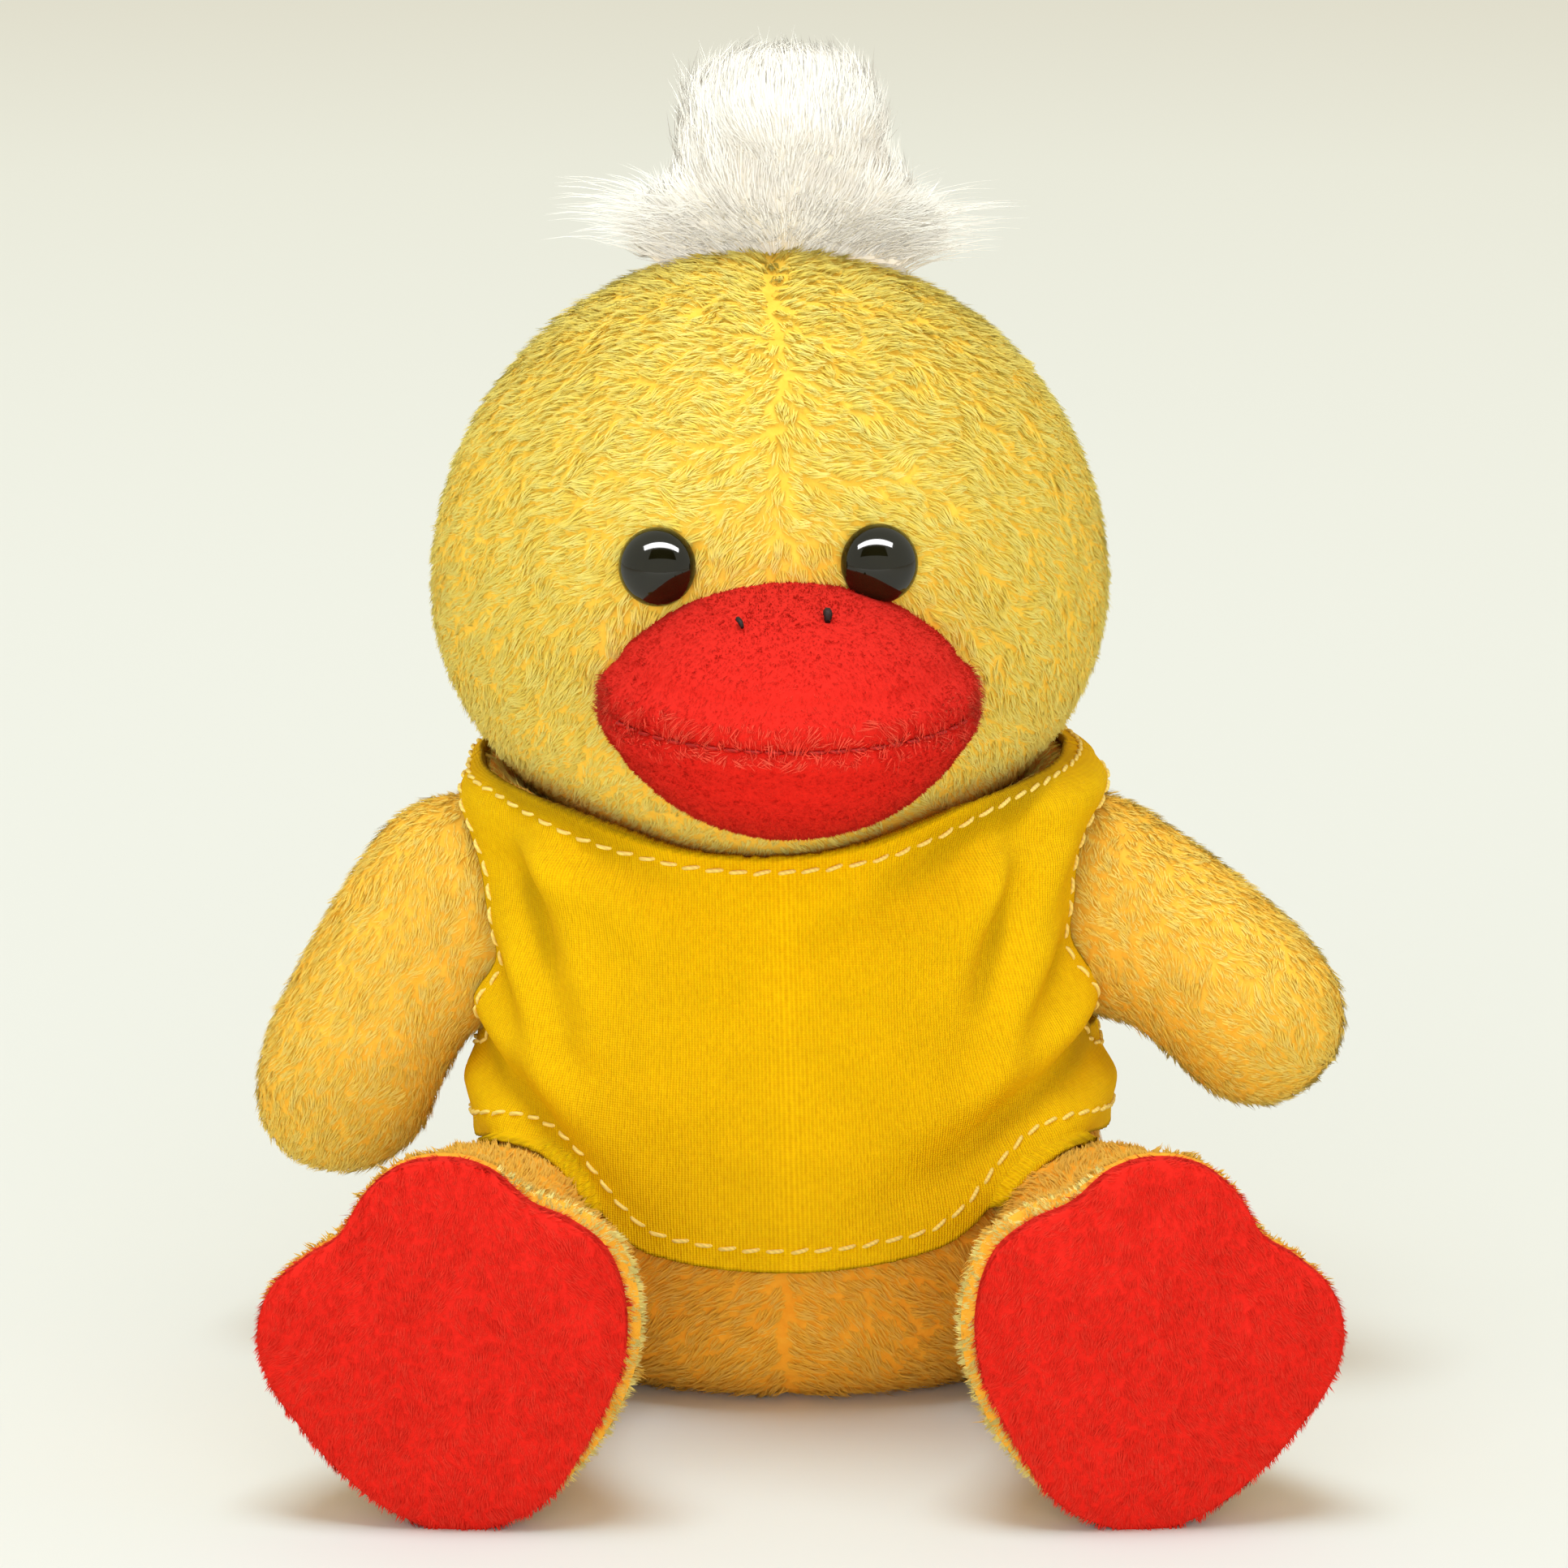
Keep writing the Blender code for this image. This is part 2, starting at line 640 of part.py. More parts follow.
# Head
def head_mesh(name, outset, sides=FORM_SIDES, rings=FORM_RINGS):
    size = (HEAD_HALF_WIDTH + outset, HEAD_HALF_DEPTH + outset, HEAD_RISE + outset)
    return half_axes_ball(name, sides, rings, HEAD_CENTRE, size, HEAD_DROP + outset)


def on_head(x, above_centre):
    """The point of the head's face at this place, and the direction straight out of it."""
    rise = HEAD_RISE if above_centre > 0 else HEAD_DROP
    left = 1 - (x / HEAD_HALF_WIDTH) ** 2 - (above_centre / rise) ** 2
    y = -HEAD_HALF_DEPTH * math.sqrt(left)
    out = Vector((x / HEAD_HALF_WIDTH**2, y / HEAD_HALF_DEPTH**2, above_centre / rise**2))
    return HEAD_CENTRE + Vector((x, y, above_centre)), out.normalized()


head_skin = add_object("head_skin", head_mesh("head_skin", 0), YELLOW_PLUSH, NECK)
inner_form = head_mesh("head_inside", -PLUSH_THICKNESS, INNER_SIDES, INNER_RINGS)
boolean(head_skin, cutter("head_inside", inner_form, NECK))
head_bottom = HEAD_CENTRE - Vector((0, 0, HEAD_DROP))
opening_ends = (head_bottom - opening_up, head_bottom + opening_up)
opening = rod_between("head_opening", *opening_ends, NECK_OPENING_RADIUS)
boolean(head_skin, cutter("head_opening", opening, NECK))

head_fill = head_mesh("head_stuffing", -FILL_INSET, INNER_SIDES, LIMB_RINGS)
head_stuffing = add_object("head_stuffing", head_fill, STUFFING, NECK)
ball = half_axes_ball("neck_ball", FILL_SIDES, FILL_RINGS, (0, 0, 0), (NECK_BALL_RADIUS,) * 3)
boolean(head_stuffing, cutter("neck_ball", ball, NECK), "UNION")

# Eyes
EYES = (
    ("left", EYE_LEFT_X, EYE_LEFT_ABOVE_CENTRE),
    ("right", EYE_RIGHT_X, EYE_RIGHT_ABOVE_CENTRE),
)
for word, eye_x, eye_above in EYES:
    spot, out = on_head(eye_x, eye_above)
    facing = out.to_track_quat("Z", "Y").to_matrix().to_4x4()
    dome = bmesh.new()
    bmesh.ops.create_uvsphere(dome, u_segments=HOLE_SIDES, v_segments=FILL_RINGS, radius=1)
    for vertex in dome.verts:
        vertex.co.z = max(vertex.co.z, 0) * EYE_DOME_HEIGHT
        vertex.co.x *= EYE_RADIUS
        vertex.co.y *= EYE_RADIUS
    dome_mesh = mesh_of(f"eye_{word}", dome)
    dome_mesh.transform(Matrix.Translation(spot + out * CLEARANCE) @ facing)
    eye = add_object(f"eye_{word}", dome_mesh, EYE_PLASTIC, NECK)
    shank_start = spot + out * (CLEARANCE + EYE_DOME_HEIGHT / 2)
    shank = rod_between("shank", shank_start, spot - out * SHANK_LENGTH, SHANK_RADIUS)
    boolean(eye, cutter(f"eye_shank_{word}", shank, NECK), "UNION")
    through = out * CUT_OVERRUN
    hole = rod_between("hole", spot + through, spot - through, SHANK_RADIUS + CLEARANCE)
    boolean(head_skin, cutter(f"eye_hole_{word}", hole, NECK))
    washer_back = spot - out * (FILL_INSET + WASHER_SAG)
    washer_front = washer_back - out * WASHER_THICKNESS
    ring = rod_between(f"eye_washer_{word}", washer_back, washer_front, WASHER_RADIUS)
    washer = add_object(f"eye_washer_{word}", ring, WASHER_PLASTIC, NECK)
    boolean(washer, cutter(f"washer_hole_{word}", hole.copy(), NECK))
    pocket_end = spot - out * (SHANK_LENGTH + CLEARANCE)
    pocket = rod_between("pocket", spot + through, pocket_end, WASHER_RADIUS + CLEARANCE)
    boolean(head_stuffing, cutter(f"eye_pocket_{word}", pocket, NECK))

# Tuft: a woven patch on the crown that carries the long fur
CROWN = HEAD_CENTRE + Vector((0, 0, HEAD_RISE))
patch_form = head_mesh("tuft_backing", CLEARANCE + TUFT_PATCH_THICKNESS)
patch = add_object("tuft_backing", patch_form, PATCH_CLOTH, NECK)
boolean(patch, cutter("patch_inside", head_mesh("patch_inside", CLEARANCE), NECK))
tuft_drop = Vector((0, 0, TUFT_BASE_DROP))
around_patch = rod_between("patch_edge", CROWN - tuft_drop, CROWN + tuft_drop, TUFT_PATCH_RADIUS)
boolean(patch, cutter("patch_edge", around_patch, NECK), "INTERSECT")


def tuft_place(share, angle):
    height, width = read_shares(TUFT_SHARES, share)
    radius = width * TUFT_BASE_RADIUS
    tall = height * (TUFT_HEIGHT + TUFT_BASE_DROP) - TUFT_BASE_DROP
    return CROWN + Vector((radius * math.cos(angle), radius * math.sin(angle), tall))


tuft_form = shaped_ball("hair_tuft", LIMB_SIDES, LIMB_RINGS, tuft_place)
hair_tuft = add_object("hair_tuft", tuft_form, WHITE_FUR, NECK)
tuft_seat = head_mesh("tuft_seat", 2 * CLEARANCE + TUFT_PATCH_THICKNESS)
boolean(hair_tuft, cutter("tuft_seat", tuft_seat, NECK))

# Bill: an upper and a lower shell of plush, sewn along the mouth and stuffed
MOUTH = Vector((BILL_OFF_CENTRE, BILL_ROOT_Y, MOUTH_ABOVE_NECK))


def bill_mesh(name, inset, sides=FORM_SIDES, rings=FORM_RINGS - 4):
    size = (BILL_HALF_WIDTH - inset, BILL_LENGTH - inset, BILL_RISE - inset)
    return half_axes_ball(name, sides, rings, MOUTH, size, BILL_DROP - inset)


bill_inside = cutter("bill_inside", bill_mesh("bill_inside", PLUSH_THICKNESS), NECK)
bill_seat = cutter("bill_seat", head_mesh("bill_seat", CLEARANCE), NECK)
for word, low, high in (("upper", -REACH, MOUTH_HALF_GAP), ("lower", -MOUTH_HALF_GAP, REACH)):
    shell = add_object(f"bill_{word}", bill_mesh(f"bill_{word}", 0), RED_PLUSH, NECK)
    boolean(shell, bill_inside)
    boolean(shell, bill_seat)
    slab_low, slab_high = Vector((-REACH, -REACH, low)), Vector((REACH, REACH, high))
    slab = box_between("slab", MOUTH + slab_low, MOUTH + slab_high)
    boolean(shell, cutter(f"bill_{word}_side", slab, NECK))
bill_fill = bill_mesh("bill_stuffing", FILL_INSET, FILL_SIDES, FILL_RINGS)
bill_stuffing = add_object("bill_stuffing", bill_fill, STUFFING, NECK)
boolean(bill_stuffing, bill_seat)


def on_bill(x, y, outset):
    """The point above the upper bill's plush at this place from the mouth's middle."""
    left = 1 - (x / BILL_HALF_WIDTH) ** 2 - (y / BILL_LENGTH) ** 2
    return MOUTH + Vector((x, y, BILL_RISE * math.sqrt(left) + outset))


# Mouth thread, in the gap between the two shells
mouth_points = []
head_side = math.radians(MOUTH_INSIDE_HEAD_DEG)
for step in range(THREAD_POINTS // 2 + 1):
    angle = math.pi + head_side / 2 + step / (THREAD_POINTS // 2) * (math.pi - head_side)
    across = (BILL_HALF_WIDTH - PLUSH_THICKNESS / 2) * math.cos(angle)
    forward = (BILL_LENGTH - PLUSH_THICKNESS / 2) * math.sin(angle)
    mouth_points.append(MOUTH + Vector((across, forward, 0)))
thread_tube("mouth_thread", mouth_points, THREAD_RADIUS, RED_THREAD, NECK)

for side, word in ((1, "left"), (-1, "right")):
    nostril_start = NOSTRIL_Y - BILL_ROOT_Y - NOSTRIL_LENGTH / 2
    nostril = []
    for step in range(3):
        y = nostril_start + step / 2 * NOSTRIL_LENGTH
        nostril.append(on_bill(side * NOSTRIL_SPACING / 2, y, CLEARANCE + NOSTRIL_RADIUS))
    thread_tube(f"nostril_{word}", nostril, NOSTRIL_RADIUS, DARK_THREAD, NECK)

# Arms and legs: each a skin open at its seam, and its stuffing
for side, word in ((1, "left"), (-1, "right")):
    joint = SHOULDERS[side]
    arm = add_object(f"arm_skin_{word}", arm_mesh(f"arm_skin_{word}", 0), YELLOW_PLUSH, joint)
    boolean(arm, cutter(f"arm_inside_{word}", arm_mesh("arm_inside", PLUSH_THICKNESS), joint))
    seam_start = (-ARM_ROOT_RADIUS - CUT_OVERRUN, 0, 0)
    seam = rod_between("seam", seam_start, (0, 0, 0), ARM_ROOT_HALF_THICKNESS / 2)
    boolean(arm, cutter(f"arm_seam_{word}", seam, joint))
    arm_fill = arm_mesh(f"arm_stuffing_{word}", FILL_INSET, FILL_SIDES, LIMB_RINGS)
    add_object(f"arm_stuffing_{word}", arm_fill, STUFFING, joint)

    joint = HIPS[side]
    leg = add_object(f"leg_skin_{word}", leg_mesh(f"leg_skin_{word}", 0, side), YELLOW_PLUSH, joint)
    inside = leg_mesh("leg_inside", PLUSH_THICKNESS, side, CLEARANCE)
    boolean(leg, cutter(f"leg_inside_{word}", inside, joint))
    leg_inset = FILL_INSET + CLEARANCE
    leg_fill = leg_mesh(f"leg_stuffing_{word}", leg_inset, side, sides=LIMB_SIDES)
    add_object(f"leg_stuffing_{word}", leg_fill, STUFFING, joint)
    add_object(f"foot_sole_{word}", sole_mesh(f"foot_sole_{word}", side), RED_PLUSH, joint)


# Vest
VEST_INSIDE = CLEARANCE
VEST_OUTSIDE = CLEARANCE + KNIT_THICKNESS


def hem_height(x):
    return HEM_FRONT_HEIGHT + HEM_SIDE_RISE * (x / TORSO_HALF_WIDTH) ** 2


def below_hem_mesh(name):
    """Everything under the hem, which rises to the sides."""
    steps = 12
    outline = [Vector((x, -REACH, -REACH)) for x in (REACH / 2, -REACH / 2)]
    for step in range(steps + 1):
        x = (step / steps - 0.5) * REACH
        outline.append(Vector((x, -REACH, hem_height(x))))
    form = bmesh.new()
    face = form.faces.new([form.verts.new(point) for point in outline])
    grown = bmesh.ops.extrude_face_region(form, geom=[face])["geom"]
    moved = [item for item in grown if isinstance(item, bmesh.types.BMVert)]
    bmesh.ops.translate(form, verts=moved, vec=(0, 2 * REACH, 0))
    return mesh_of(name, form)


def fold_share(share, angle):
    """How much of a fold's height the knit has at this place: 1 on its ridge, 0 beside it."""
    turn = (math.degrees(angle) + 90 + 180) % 360 - 180
    highest = 0
    for start_turn, start_share, end_turn, end_share in FOLD_END_SHARES:
        start = Vector((start_turn / FOLD_HALF_TURN_DEG, start_share / FOLD_HALF_SHARE))
        end = Vector((end_turn / FOLD_HALF_TURN_DEG, end_share / FOLD_HALF_SHARE))
        place = Vector((turn / FOLD_HALF_TURN_DEG, share / FOLD_HALF_SHARE))
        along = (place - start).dot(end - start) / (end - start).length_squared
        off = (place - start.lerp(end, max(0, min(1, along)))).length
        highest = max(highest, 1 - min(1, off) ** 2)
    return highest


def vest_place(share, angle):
    return torso_place(VEST_OUTSIDE + FOLD_HEIGHT * fold_share(share, angle))(share, angle)


vest_inside = cutter("vest_inside", torso_mesh("vest_inside", VEST_INSIDE))
vest_bowl = cutter("vest_bowl", bowl_mesh("vest_bowl", 0))
below_hem = cutter("below_hem", below_hem_mesh("below_hem"))
vest_holes = []
for side, word in ((1, "left"), (-1, "right")):
    armhole = shoulder_root_mesh("armhole", ARMHOLE_MARGIN)
    vest_holes.append(cutter(f"armhole_{word}", armhole, SHOULDERS[side]))
    leg_hole = hip_root_mesh("leg_hole", LEG_HOLE_MARGIN)
    vest_holes.append(cutter(f"leg_hole_{word}", leg_hole, HIPS[side]))
SIDE_CUTS = (("front", -SIDE_SEAM_HALF_GAP, REACH), ("back", -REACH, SIDE_SEAM_HALF_GAP))
for word, low, high in SIDE_CUTS:
    panel_form = shaped_ball(f"vest_{word}", FORM_SIDES, FORM_RINGS, vest_place)
    panel = add_object(f"vest_{word}", panel_form, AMBER_KNIT)
    for other in (vest_inside, vest_bowl, below_hem, *vest_holes):
        boolean(panel, other)
    half_low, half_high = (-REACH, TORSO_CENTRE_Y + low, -REACH), (REACH, TORSO_CENTRE_Y + high, REACH)
    half = box_between("half", half_low, half_high)
    boolean(panel, cutter(f"vest_{word}_half", half))

# Threads of the vest, one unbroken length along each edge
THREAD_OUTSET = VEST_OUTSIDE + STITCH_CLEARANCE + THREAD_RADIUS
on_vest = torso_place(THREAD_OUTSET)


def crossing(outside, low, high):
    """The share between low and high at which outside(share) changes from true to false."""
    for _ in range(HALVINGS):
        middle = (low + high) / 2
        low, high = (middle, high) if outside(middle) else (low, middle)
    return (low + high) / 2


def in_joint(point, joint):
    return joint.matrix_world.inverted() @ point


def clear_of_leg(point, outset):
    for joint in HIPS.values():
        local = in_joint(point, joint)
        across = abs(local.x) / (LEG_ROOT_HALF_WIDTH + outset)
        around = math.hypot(local.y, local.z) / (LEG_ROOT_RADIUS + outset)
        if across**LEG_ROOT_SQUARENESS + around**LEG_ROOT_SQUARENESS < 1:
            return False
    return True


neck_points, hem_points = [], []
for step in range(THREAD_POINTS):
    angle = step / THREAD_POINTS * 2 * math.pi

    def outside_neck(share):
        return above_bowl_edge(on_vest(share, angle), NECK_STITCH_INSET) > 1

    neck_points.append(on_vest(crossing(outside_neck, *NECKLINE_SEARCH_SHARES), angle))
    share, lowest = HEM_SEARCH_SHARES
    while share > lowest:
        point = on_vest(share, angle)
        clear = clear_of_leg(point, LEG_HOLE_MARGIN + HEM_STITCH_INSET)
        if point.z < hem_height(point.x) + HEM_STITCH_INSET or not clear:
            break
        share -= HEM_STEP_SHARE
    hem_points.append(point)
thread_tube("neckline_stitching", neck_points, THREAD_RADIUS, CREAM_THREAD, closed=True)
thread_tube("hem_stitching", hem_points, THREAD_RADIUS, CREAM_THREAD, closed=True)


def vest_side_x(y, z, side):
    """How far out the vest's side lies at this depth and height."""
    share = crossing(lambda s: on_vest(s, 0).z < z, *SIDE_SEARCH_SHARES)
    width, depth = on_vest(share, 0).x, on_vest(share, math.pi / 2).y - TORSO_CENTRE_Y
    middle = (on_vest(share, 0).x + on_vest(share, math.pi).x) / 2
    left = 1 - min(1, abs((y - TORSO_CENTRE_Y) / depth)) ** TORSO_ROUNDNESS
    return middle + side * (width - middle) * left ** (1 / TORSO_ROUNDNESS)


for side, word in ((1, "left"), (-1, "right")):
    place, _ = shoulder(side)
    hole = ARMHOLE_MARGIN + ARMHOLE_STITCH_INSET
    ring_points = []
    for step in range(THREAD_POINTS // 2):
        angle = step / (THREAD_POINTS // 2) * 2 * math.pi

        def at(size):
            y, z = place.y + size * math.cos(angle), place.z + size * math.sin(angle)
            return Vector((vest_side_x(y, z, side), y, z))

        def within(size):
            local = in_joint(at(size), SHOULDERS[side])
            flat = math.hypot(local.x, local.z) / (ARM_ROOT_RADIUS + hole)
            return flat**2 + (local.y / (ARM_ROOT_HALF_THICKNESS + hole)) ** 2 < 1

        ring_points.append(at(crossing(within, 0, 2 * ARM_ROOT_RADIUS)))
    ring_name = f"armhole_stitching_{word}"
    thread_tube(ring_name, ring_points, THREAD_RADIUS, CREAM_THREAD, closed=True)
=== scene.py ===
import math

import bpy
import numpy as np
from mathutils import Matrix, Vector, kdtree, noise


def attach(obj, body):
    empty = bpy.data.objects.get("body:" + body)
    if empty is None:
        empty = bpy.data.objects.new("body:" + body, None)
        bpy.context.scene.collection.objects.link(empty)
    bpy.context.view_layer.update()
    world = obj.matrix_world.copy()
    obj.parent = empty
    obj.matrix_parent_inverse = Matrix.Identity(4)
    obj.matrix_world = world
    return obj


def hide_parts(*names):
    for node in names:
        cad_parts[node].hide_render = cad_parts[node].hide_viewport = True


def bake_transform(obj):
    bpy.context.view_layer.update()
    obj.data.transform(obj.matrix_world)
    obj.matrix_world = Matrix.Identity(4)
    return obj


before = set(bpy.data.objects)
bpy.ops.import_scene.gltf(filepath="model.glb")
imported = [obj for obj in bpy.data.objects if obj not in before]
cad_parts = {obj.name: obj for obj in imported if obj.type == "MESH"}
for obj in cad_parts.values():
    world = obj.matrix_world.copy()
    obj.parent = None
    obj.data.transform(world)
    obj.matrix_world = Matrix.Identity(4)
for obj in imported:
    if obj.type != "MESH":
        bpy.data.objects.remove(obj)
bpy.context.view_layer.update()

scene = bpy.context.scene

# Torso: a bag of short yellow plush, sewn from two panels with a seam down the belly.
# It is stuffed firm, dished at the top where the head sits, and flat under the seat.
# The nap of the cloth is thousands of fine locks that lie one way.
MM = 0.001
# Pile colours: the root colour is painted shade, for the gaps between locks, and the tip colour a
# painted highlight.
PLUSH_SHADED_ROOT = (0.88, 0.43, 0.022)
PLUSH_MIDDLE = (0.97, 0.73, 0.105)
PLUSH_LIT_TIP = (0.985, 0.895, 0.26)
TORSO_LEAN = 2.0
TORSO_CENTRE_Y = 0.5
TORSO_HALF_WIDTH = 33.3
TORSO_HALF_DEPTH = 30.5
TORSO_HEIGHT = 72.5
TORSO_SEAT_CUT = 0.5
TORSO_ROUNDNESS = 2.3
TORSO_FADE_SHARE = 0.25
# Each row: height, half width and half depth, as shares of the torso's own.
TORSO_SHARES = (
    (0.0, 0.0, 0.0), (0.0, 0.62, 0.64), (0.06, 0.89, 0.90), (0.17, 0.98, 0.985),
    (0.30, 1.0, 1.0), (0.43, 0.985, 0.995), (0.56, 0.95, 0.97), (0.69, 0.93, 0.925),
    (0.81, 0.925, 0.875), (0.91, 0.90, 0.82), (0.95, 0.0, 0.0),
)
BELLY_SEAM_X = 0.6
HEAD_CENTRE = np.array((-1.0, 0.0, 84.0))
BOWL_HALF_AXES = np.array((36.2, 39.5, 33.6))
PLUSH_BOWL_HALF_AXES = np.array((35.6, 38.9, 33.2))
NAPE_SHARE = 1.20
HEM_FRONT_HEIGHT = 16.4
HEM_SIDE_RISE = 8.5
PLUSH_PILE = dict(length=1.7, width=0.22, lift=0.20)
PILE_SINK = 0.35


def smooth_step(a, b, c, d, s):
    """A smooth curve from b to c, a share s of the way, with a before it and d after it."""
    square = 2 * a - 5 * b + 4 * c - d
    cube = 3 * b - a - 3 * c + d
    return (2 * b + (c - a) * s + square * s**2 + cube * s**3) / 2


def shares_at(rows, share):
    """The rows of a table at these shares of the way down it, smoothed between rows."""
    rows = np.array(rows, float)
    place = np.clip(share, 0, 1) * (len(rows) - 1)
    first = np.minimum(place.astype(int), len(rows) - 2)
    near = (rows[np.clip(first + step, 0, len(rows) - 1)] for step in (-1, 0, 1, 2))
    return smooth_step(*near, (place - first)[:, None]).T


def rounded(angle, roundness):
    across, along = np.cos(angle), np.sin(angle)
    power = 2 / roundness
    return np.sign(across) * abs(across) ** power, np.sign(along) * abs(along) ** power


def torso_points(share, angle, outset):
    height, width, depth = shares_at(TORSO_SHARES, share)
    across, along = rounded(angle, TORSO_ROUNDNESS)
    fade = np.minimum(1, width / TORSO_FADE_SHARE) * outset
    x = TORSO_LEAN * (1 - height) + across * (width * TORSO_HALF_WIDTH + fade)
    y = TORSO_CENTRE_Y + along * (depth * TORSO_HALF_DEPTH + fade)
    z = (TORSO_HEIGHT + 2 * outset) * height - outset - TORSO_SEAT_CUT
    return np.column_stack((x, y, np.maximum(z, np.maximum(0, -outset))))


def ball_grid(sides, rings):
    """Shares and angles of a ball's points, bottom pole first, and its faces."""
    share, angle = np.meshgrid(
        np.arange(1, rings) / rings, np.arange(sides) / sides * 2 * math.pi, indexing="ij"
    )
    shares = np.concatenate(((0,), share.ravel(), (1,)))
    angles = np.concatenate(((0,), angle.ravel(), (0,)))
    top = len(shares) - 1
    faces = []
    for side in range(sides):
        after = (side + 1) % sides
        faces.append((0, 1 + after, 1 + side))
        for ring in range(rings - 2):
            low, high = 1 + ring * sides, 1 + (ring + 1) * sides
            faces.append((low + side, low + after, high + after, high + side))
        last = 1 + (rings - 2) * sides
        faces.append((top, last + side, last + after))
    return shares, angles, faces


def unit(vectors):
    return vectors / (np.linalg.norm(vectors, axis=1)[:, None] + 1e-9)


def ways(across, forward, up):
    """A direction for each point. Each of the three is one number or one for each point."""
    return np.column_stack(np.broadcast_arrays(across, forward, up)).astype(float)


def lumps(points, size, seed):
    """Smooth noise of about -1 to 1 at each point, with lumps of this size in millimetres."""
    offset = Vector((seed * 7.1, seed * 3.7, seed * 5.3))
    return np.array([noise.noise(Vector(p) / size + offset) for p in points])


def add_object(name, data):
    thing = bpy.data.objects.new(name, data)
    scene.collection.objects.link(thing)
    return thing


def add_piece(name, points, faces, material):
    """A smooth mesh object from points in millimetres."""
    mesh = bpy.data.meshes.new(name)
    mesh.from_pydata((np.asarray(points) * MM).tolist(), [], faces)
    mesh.shade_smooth()
    mesh.materials.append(material)
    return add_object(name, mesh)


def fit(piece, body, node=None):
    """Says what a piece moves with and hides the solid it stands for. Cloth on the neck stays
    where it is, with no body."""
    if body == "neck":
        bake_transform(piece)
    else:
        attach(piece, body)
    if node:
        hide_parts(node)
    return piece


def feed(node, inputs):
    """Sets each input of a shader node to a value, or links it to another node's output."""
    for socket, value in inputs.items():
        if isinstance(value, bpy.types.NodeSocket):
            node.id_data.links.new(value, node.inputs[socket])
        else:
            node.inputs[socket].default_value = value
    return node


def add_node(tree, kind, inputs=(), **settings):
    """The outputs of a new shader node."""
    node = tree.nodes.new(f"ShaderNode{kind}")
    for name, value in settings.items():
        setattr(node, name, value)
    return feed(node, dict(inputs)).outputs


def worked_out(tree, operation, *values):
    return add_node(tree, "Math", enumerate(values), operation=operation)[0]


def mapped(tree, value, start, end, low=0.0, high=1.0, curve="LINEAR"):
    reach = {"Value": value, "From Min": start, "From Max": end, "To Min": low, "To Max": high}
    return add_node(tree, "MapRange", reach, interpolation_type=curve)["Result"]


def mixed(tree, factor, low, high):
    """The colour between two, each of them a colour or another node's output."""
    low, high = (c if isinstance(c, bpy.types.NodeSocket) else (*c, 1) for c in (low, high))
    inputs = {"Factor": factor, "A": low, "B": high}
    return add_node(tree, "Mix", inputs, data_type="RGBA")["Result"]


def object_place(tree):
    return add_node(tree, "TexCoord")["Object"]


def new_material(name, roughness, specular):
    material = bpy.data.materials.new(name)
    material.use_nodes = True
    tree = material.node_tree
    shader = tree.nodes["Principled BSDF"]
    feed(shader, {"Roughness": roughness, "Specular IOR Level": specular})
    return material, tree, shader


def new_group(name, inputs, results):
    """A shared effect: its tree, the sockets it is given, and the node for its results."""
    group = bpy.data.node_groups.new(name, "ShaderNodeTree")
    for in_out, sockets in (("INPUT", inputs), ("OUTPUT", results)):
        for socket, kind in sockets.items():
            kind = f"NodeSocket{kind}"
            group.interface.new_socket(name=socket, in_out=in_out, socket_type=kind)
    return group, group.nodes.new("NodeGroupInput").outputs, group.nodes.new("NodeGroupOutput")


def tone_group():
    """Shared effect: a lock's colour, from painted shade at the root to a painted highlight at the
    tip.
    """
    inputs = {"Along": "Float", "Lock": "Float", "Root": "Color", "Middle": "Color", "Tip": "Color"}
    group, given, results = new_group("pile tone", inputs, {"Colour": "Color"})
    shift = worked_out(group, "MULTIPLY_ADD", given["Lock"], 0.42, given["Along"])
    colour = given["Root"]
    for low, high, after in ((0.05, 0.62, "Middle"), (0.62, 1.35, "Tip")):
        share = mapped(group, shift, low, high, curve="SMOOTHSTEP")
        colour = mixed(group, share, colour, given[after])
    feed(results, {"Colour": colour})
    return group


def mottle_group():
    """Shared effect: cloth with a slightly uneven dye over a fine fleecy relief."""
    inputs = {"Scale": "Float", "Dark": "Color", "Light": "Color"}
    group, given, results = new_group("mottle", inputs, {"Colour": "Color", "Height": "Float"})
    spots = {"Vector": object_place(group), "Scale": given["Scale"], "Detail": 4}
    mottle = add_node(group, "TexNoise", spots)["Fac"]
    feed(results, {"Colour": mixed(group, mottle, given["Dark"], given["Light"]), "Height": mottle})
    return group


PILE_TONE = tone_group()
MOTTLE = mottle_group()


def pile_material(name, root, middle, tip, raised=None):
    """Fibres whose colour runs from painted shade at the root to a painted highlight at the tip.
    Both their sides take the light as the nap's outer face does, or as fur does whose light is even
    from above."""
    material, tree, shader = new_material(name, 0.85, 0.1)
    tone = {"Root": (*root, 1), "Middle": (*middle, 1), "Tip": (*tip, 1)}
    for socket in ("Along", "Lock"):
        tone[socket] = add_node(tree, "Attribute", attribute_name=socket.lower())["Fac"]
    face = add_node(tree, "NewGeometry")
    if raised:
        lifted = add_node(tree, "VectorMath", {0: face["True Normal"], 1: (0, 0, raised)})[0]
        normal = add_node(tree, "VectorMath", {0: lifted}, operation="NORMALIZE")[0]
    else:
        turned = worked_out(tree, "MULTIPLY_ADD", face["Backfacing"], -2, 1)
        outward = {0: face["Normal"], "Scale": turned}
        normal = add_node(tree, "VectorMath", outward, operation="SCALE")[0]
    feed(shader, {
        "Base Color": add_node(tree, "Group", tone, node_tree=PILE_TONE)["Colour"],
        "Sheen Weight": 0.42,
        "Sheen Tint": (tip[0], tip[1] * 0.93, tip[2] * 0.9, 1),
        "Normal": normal,
    })
    return material


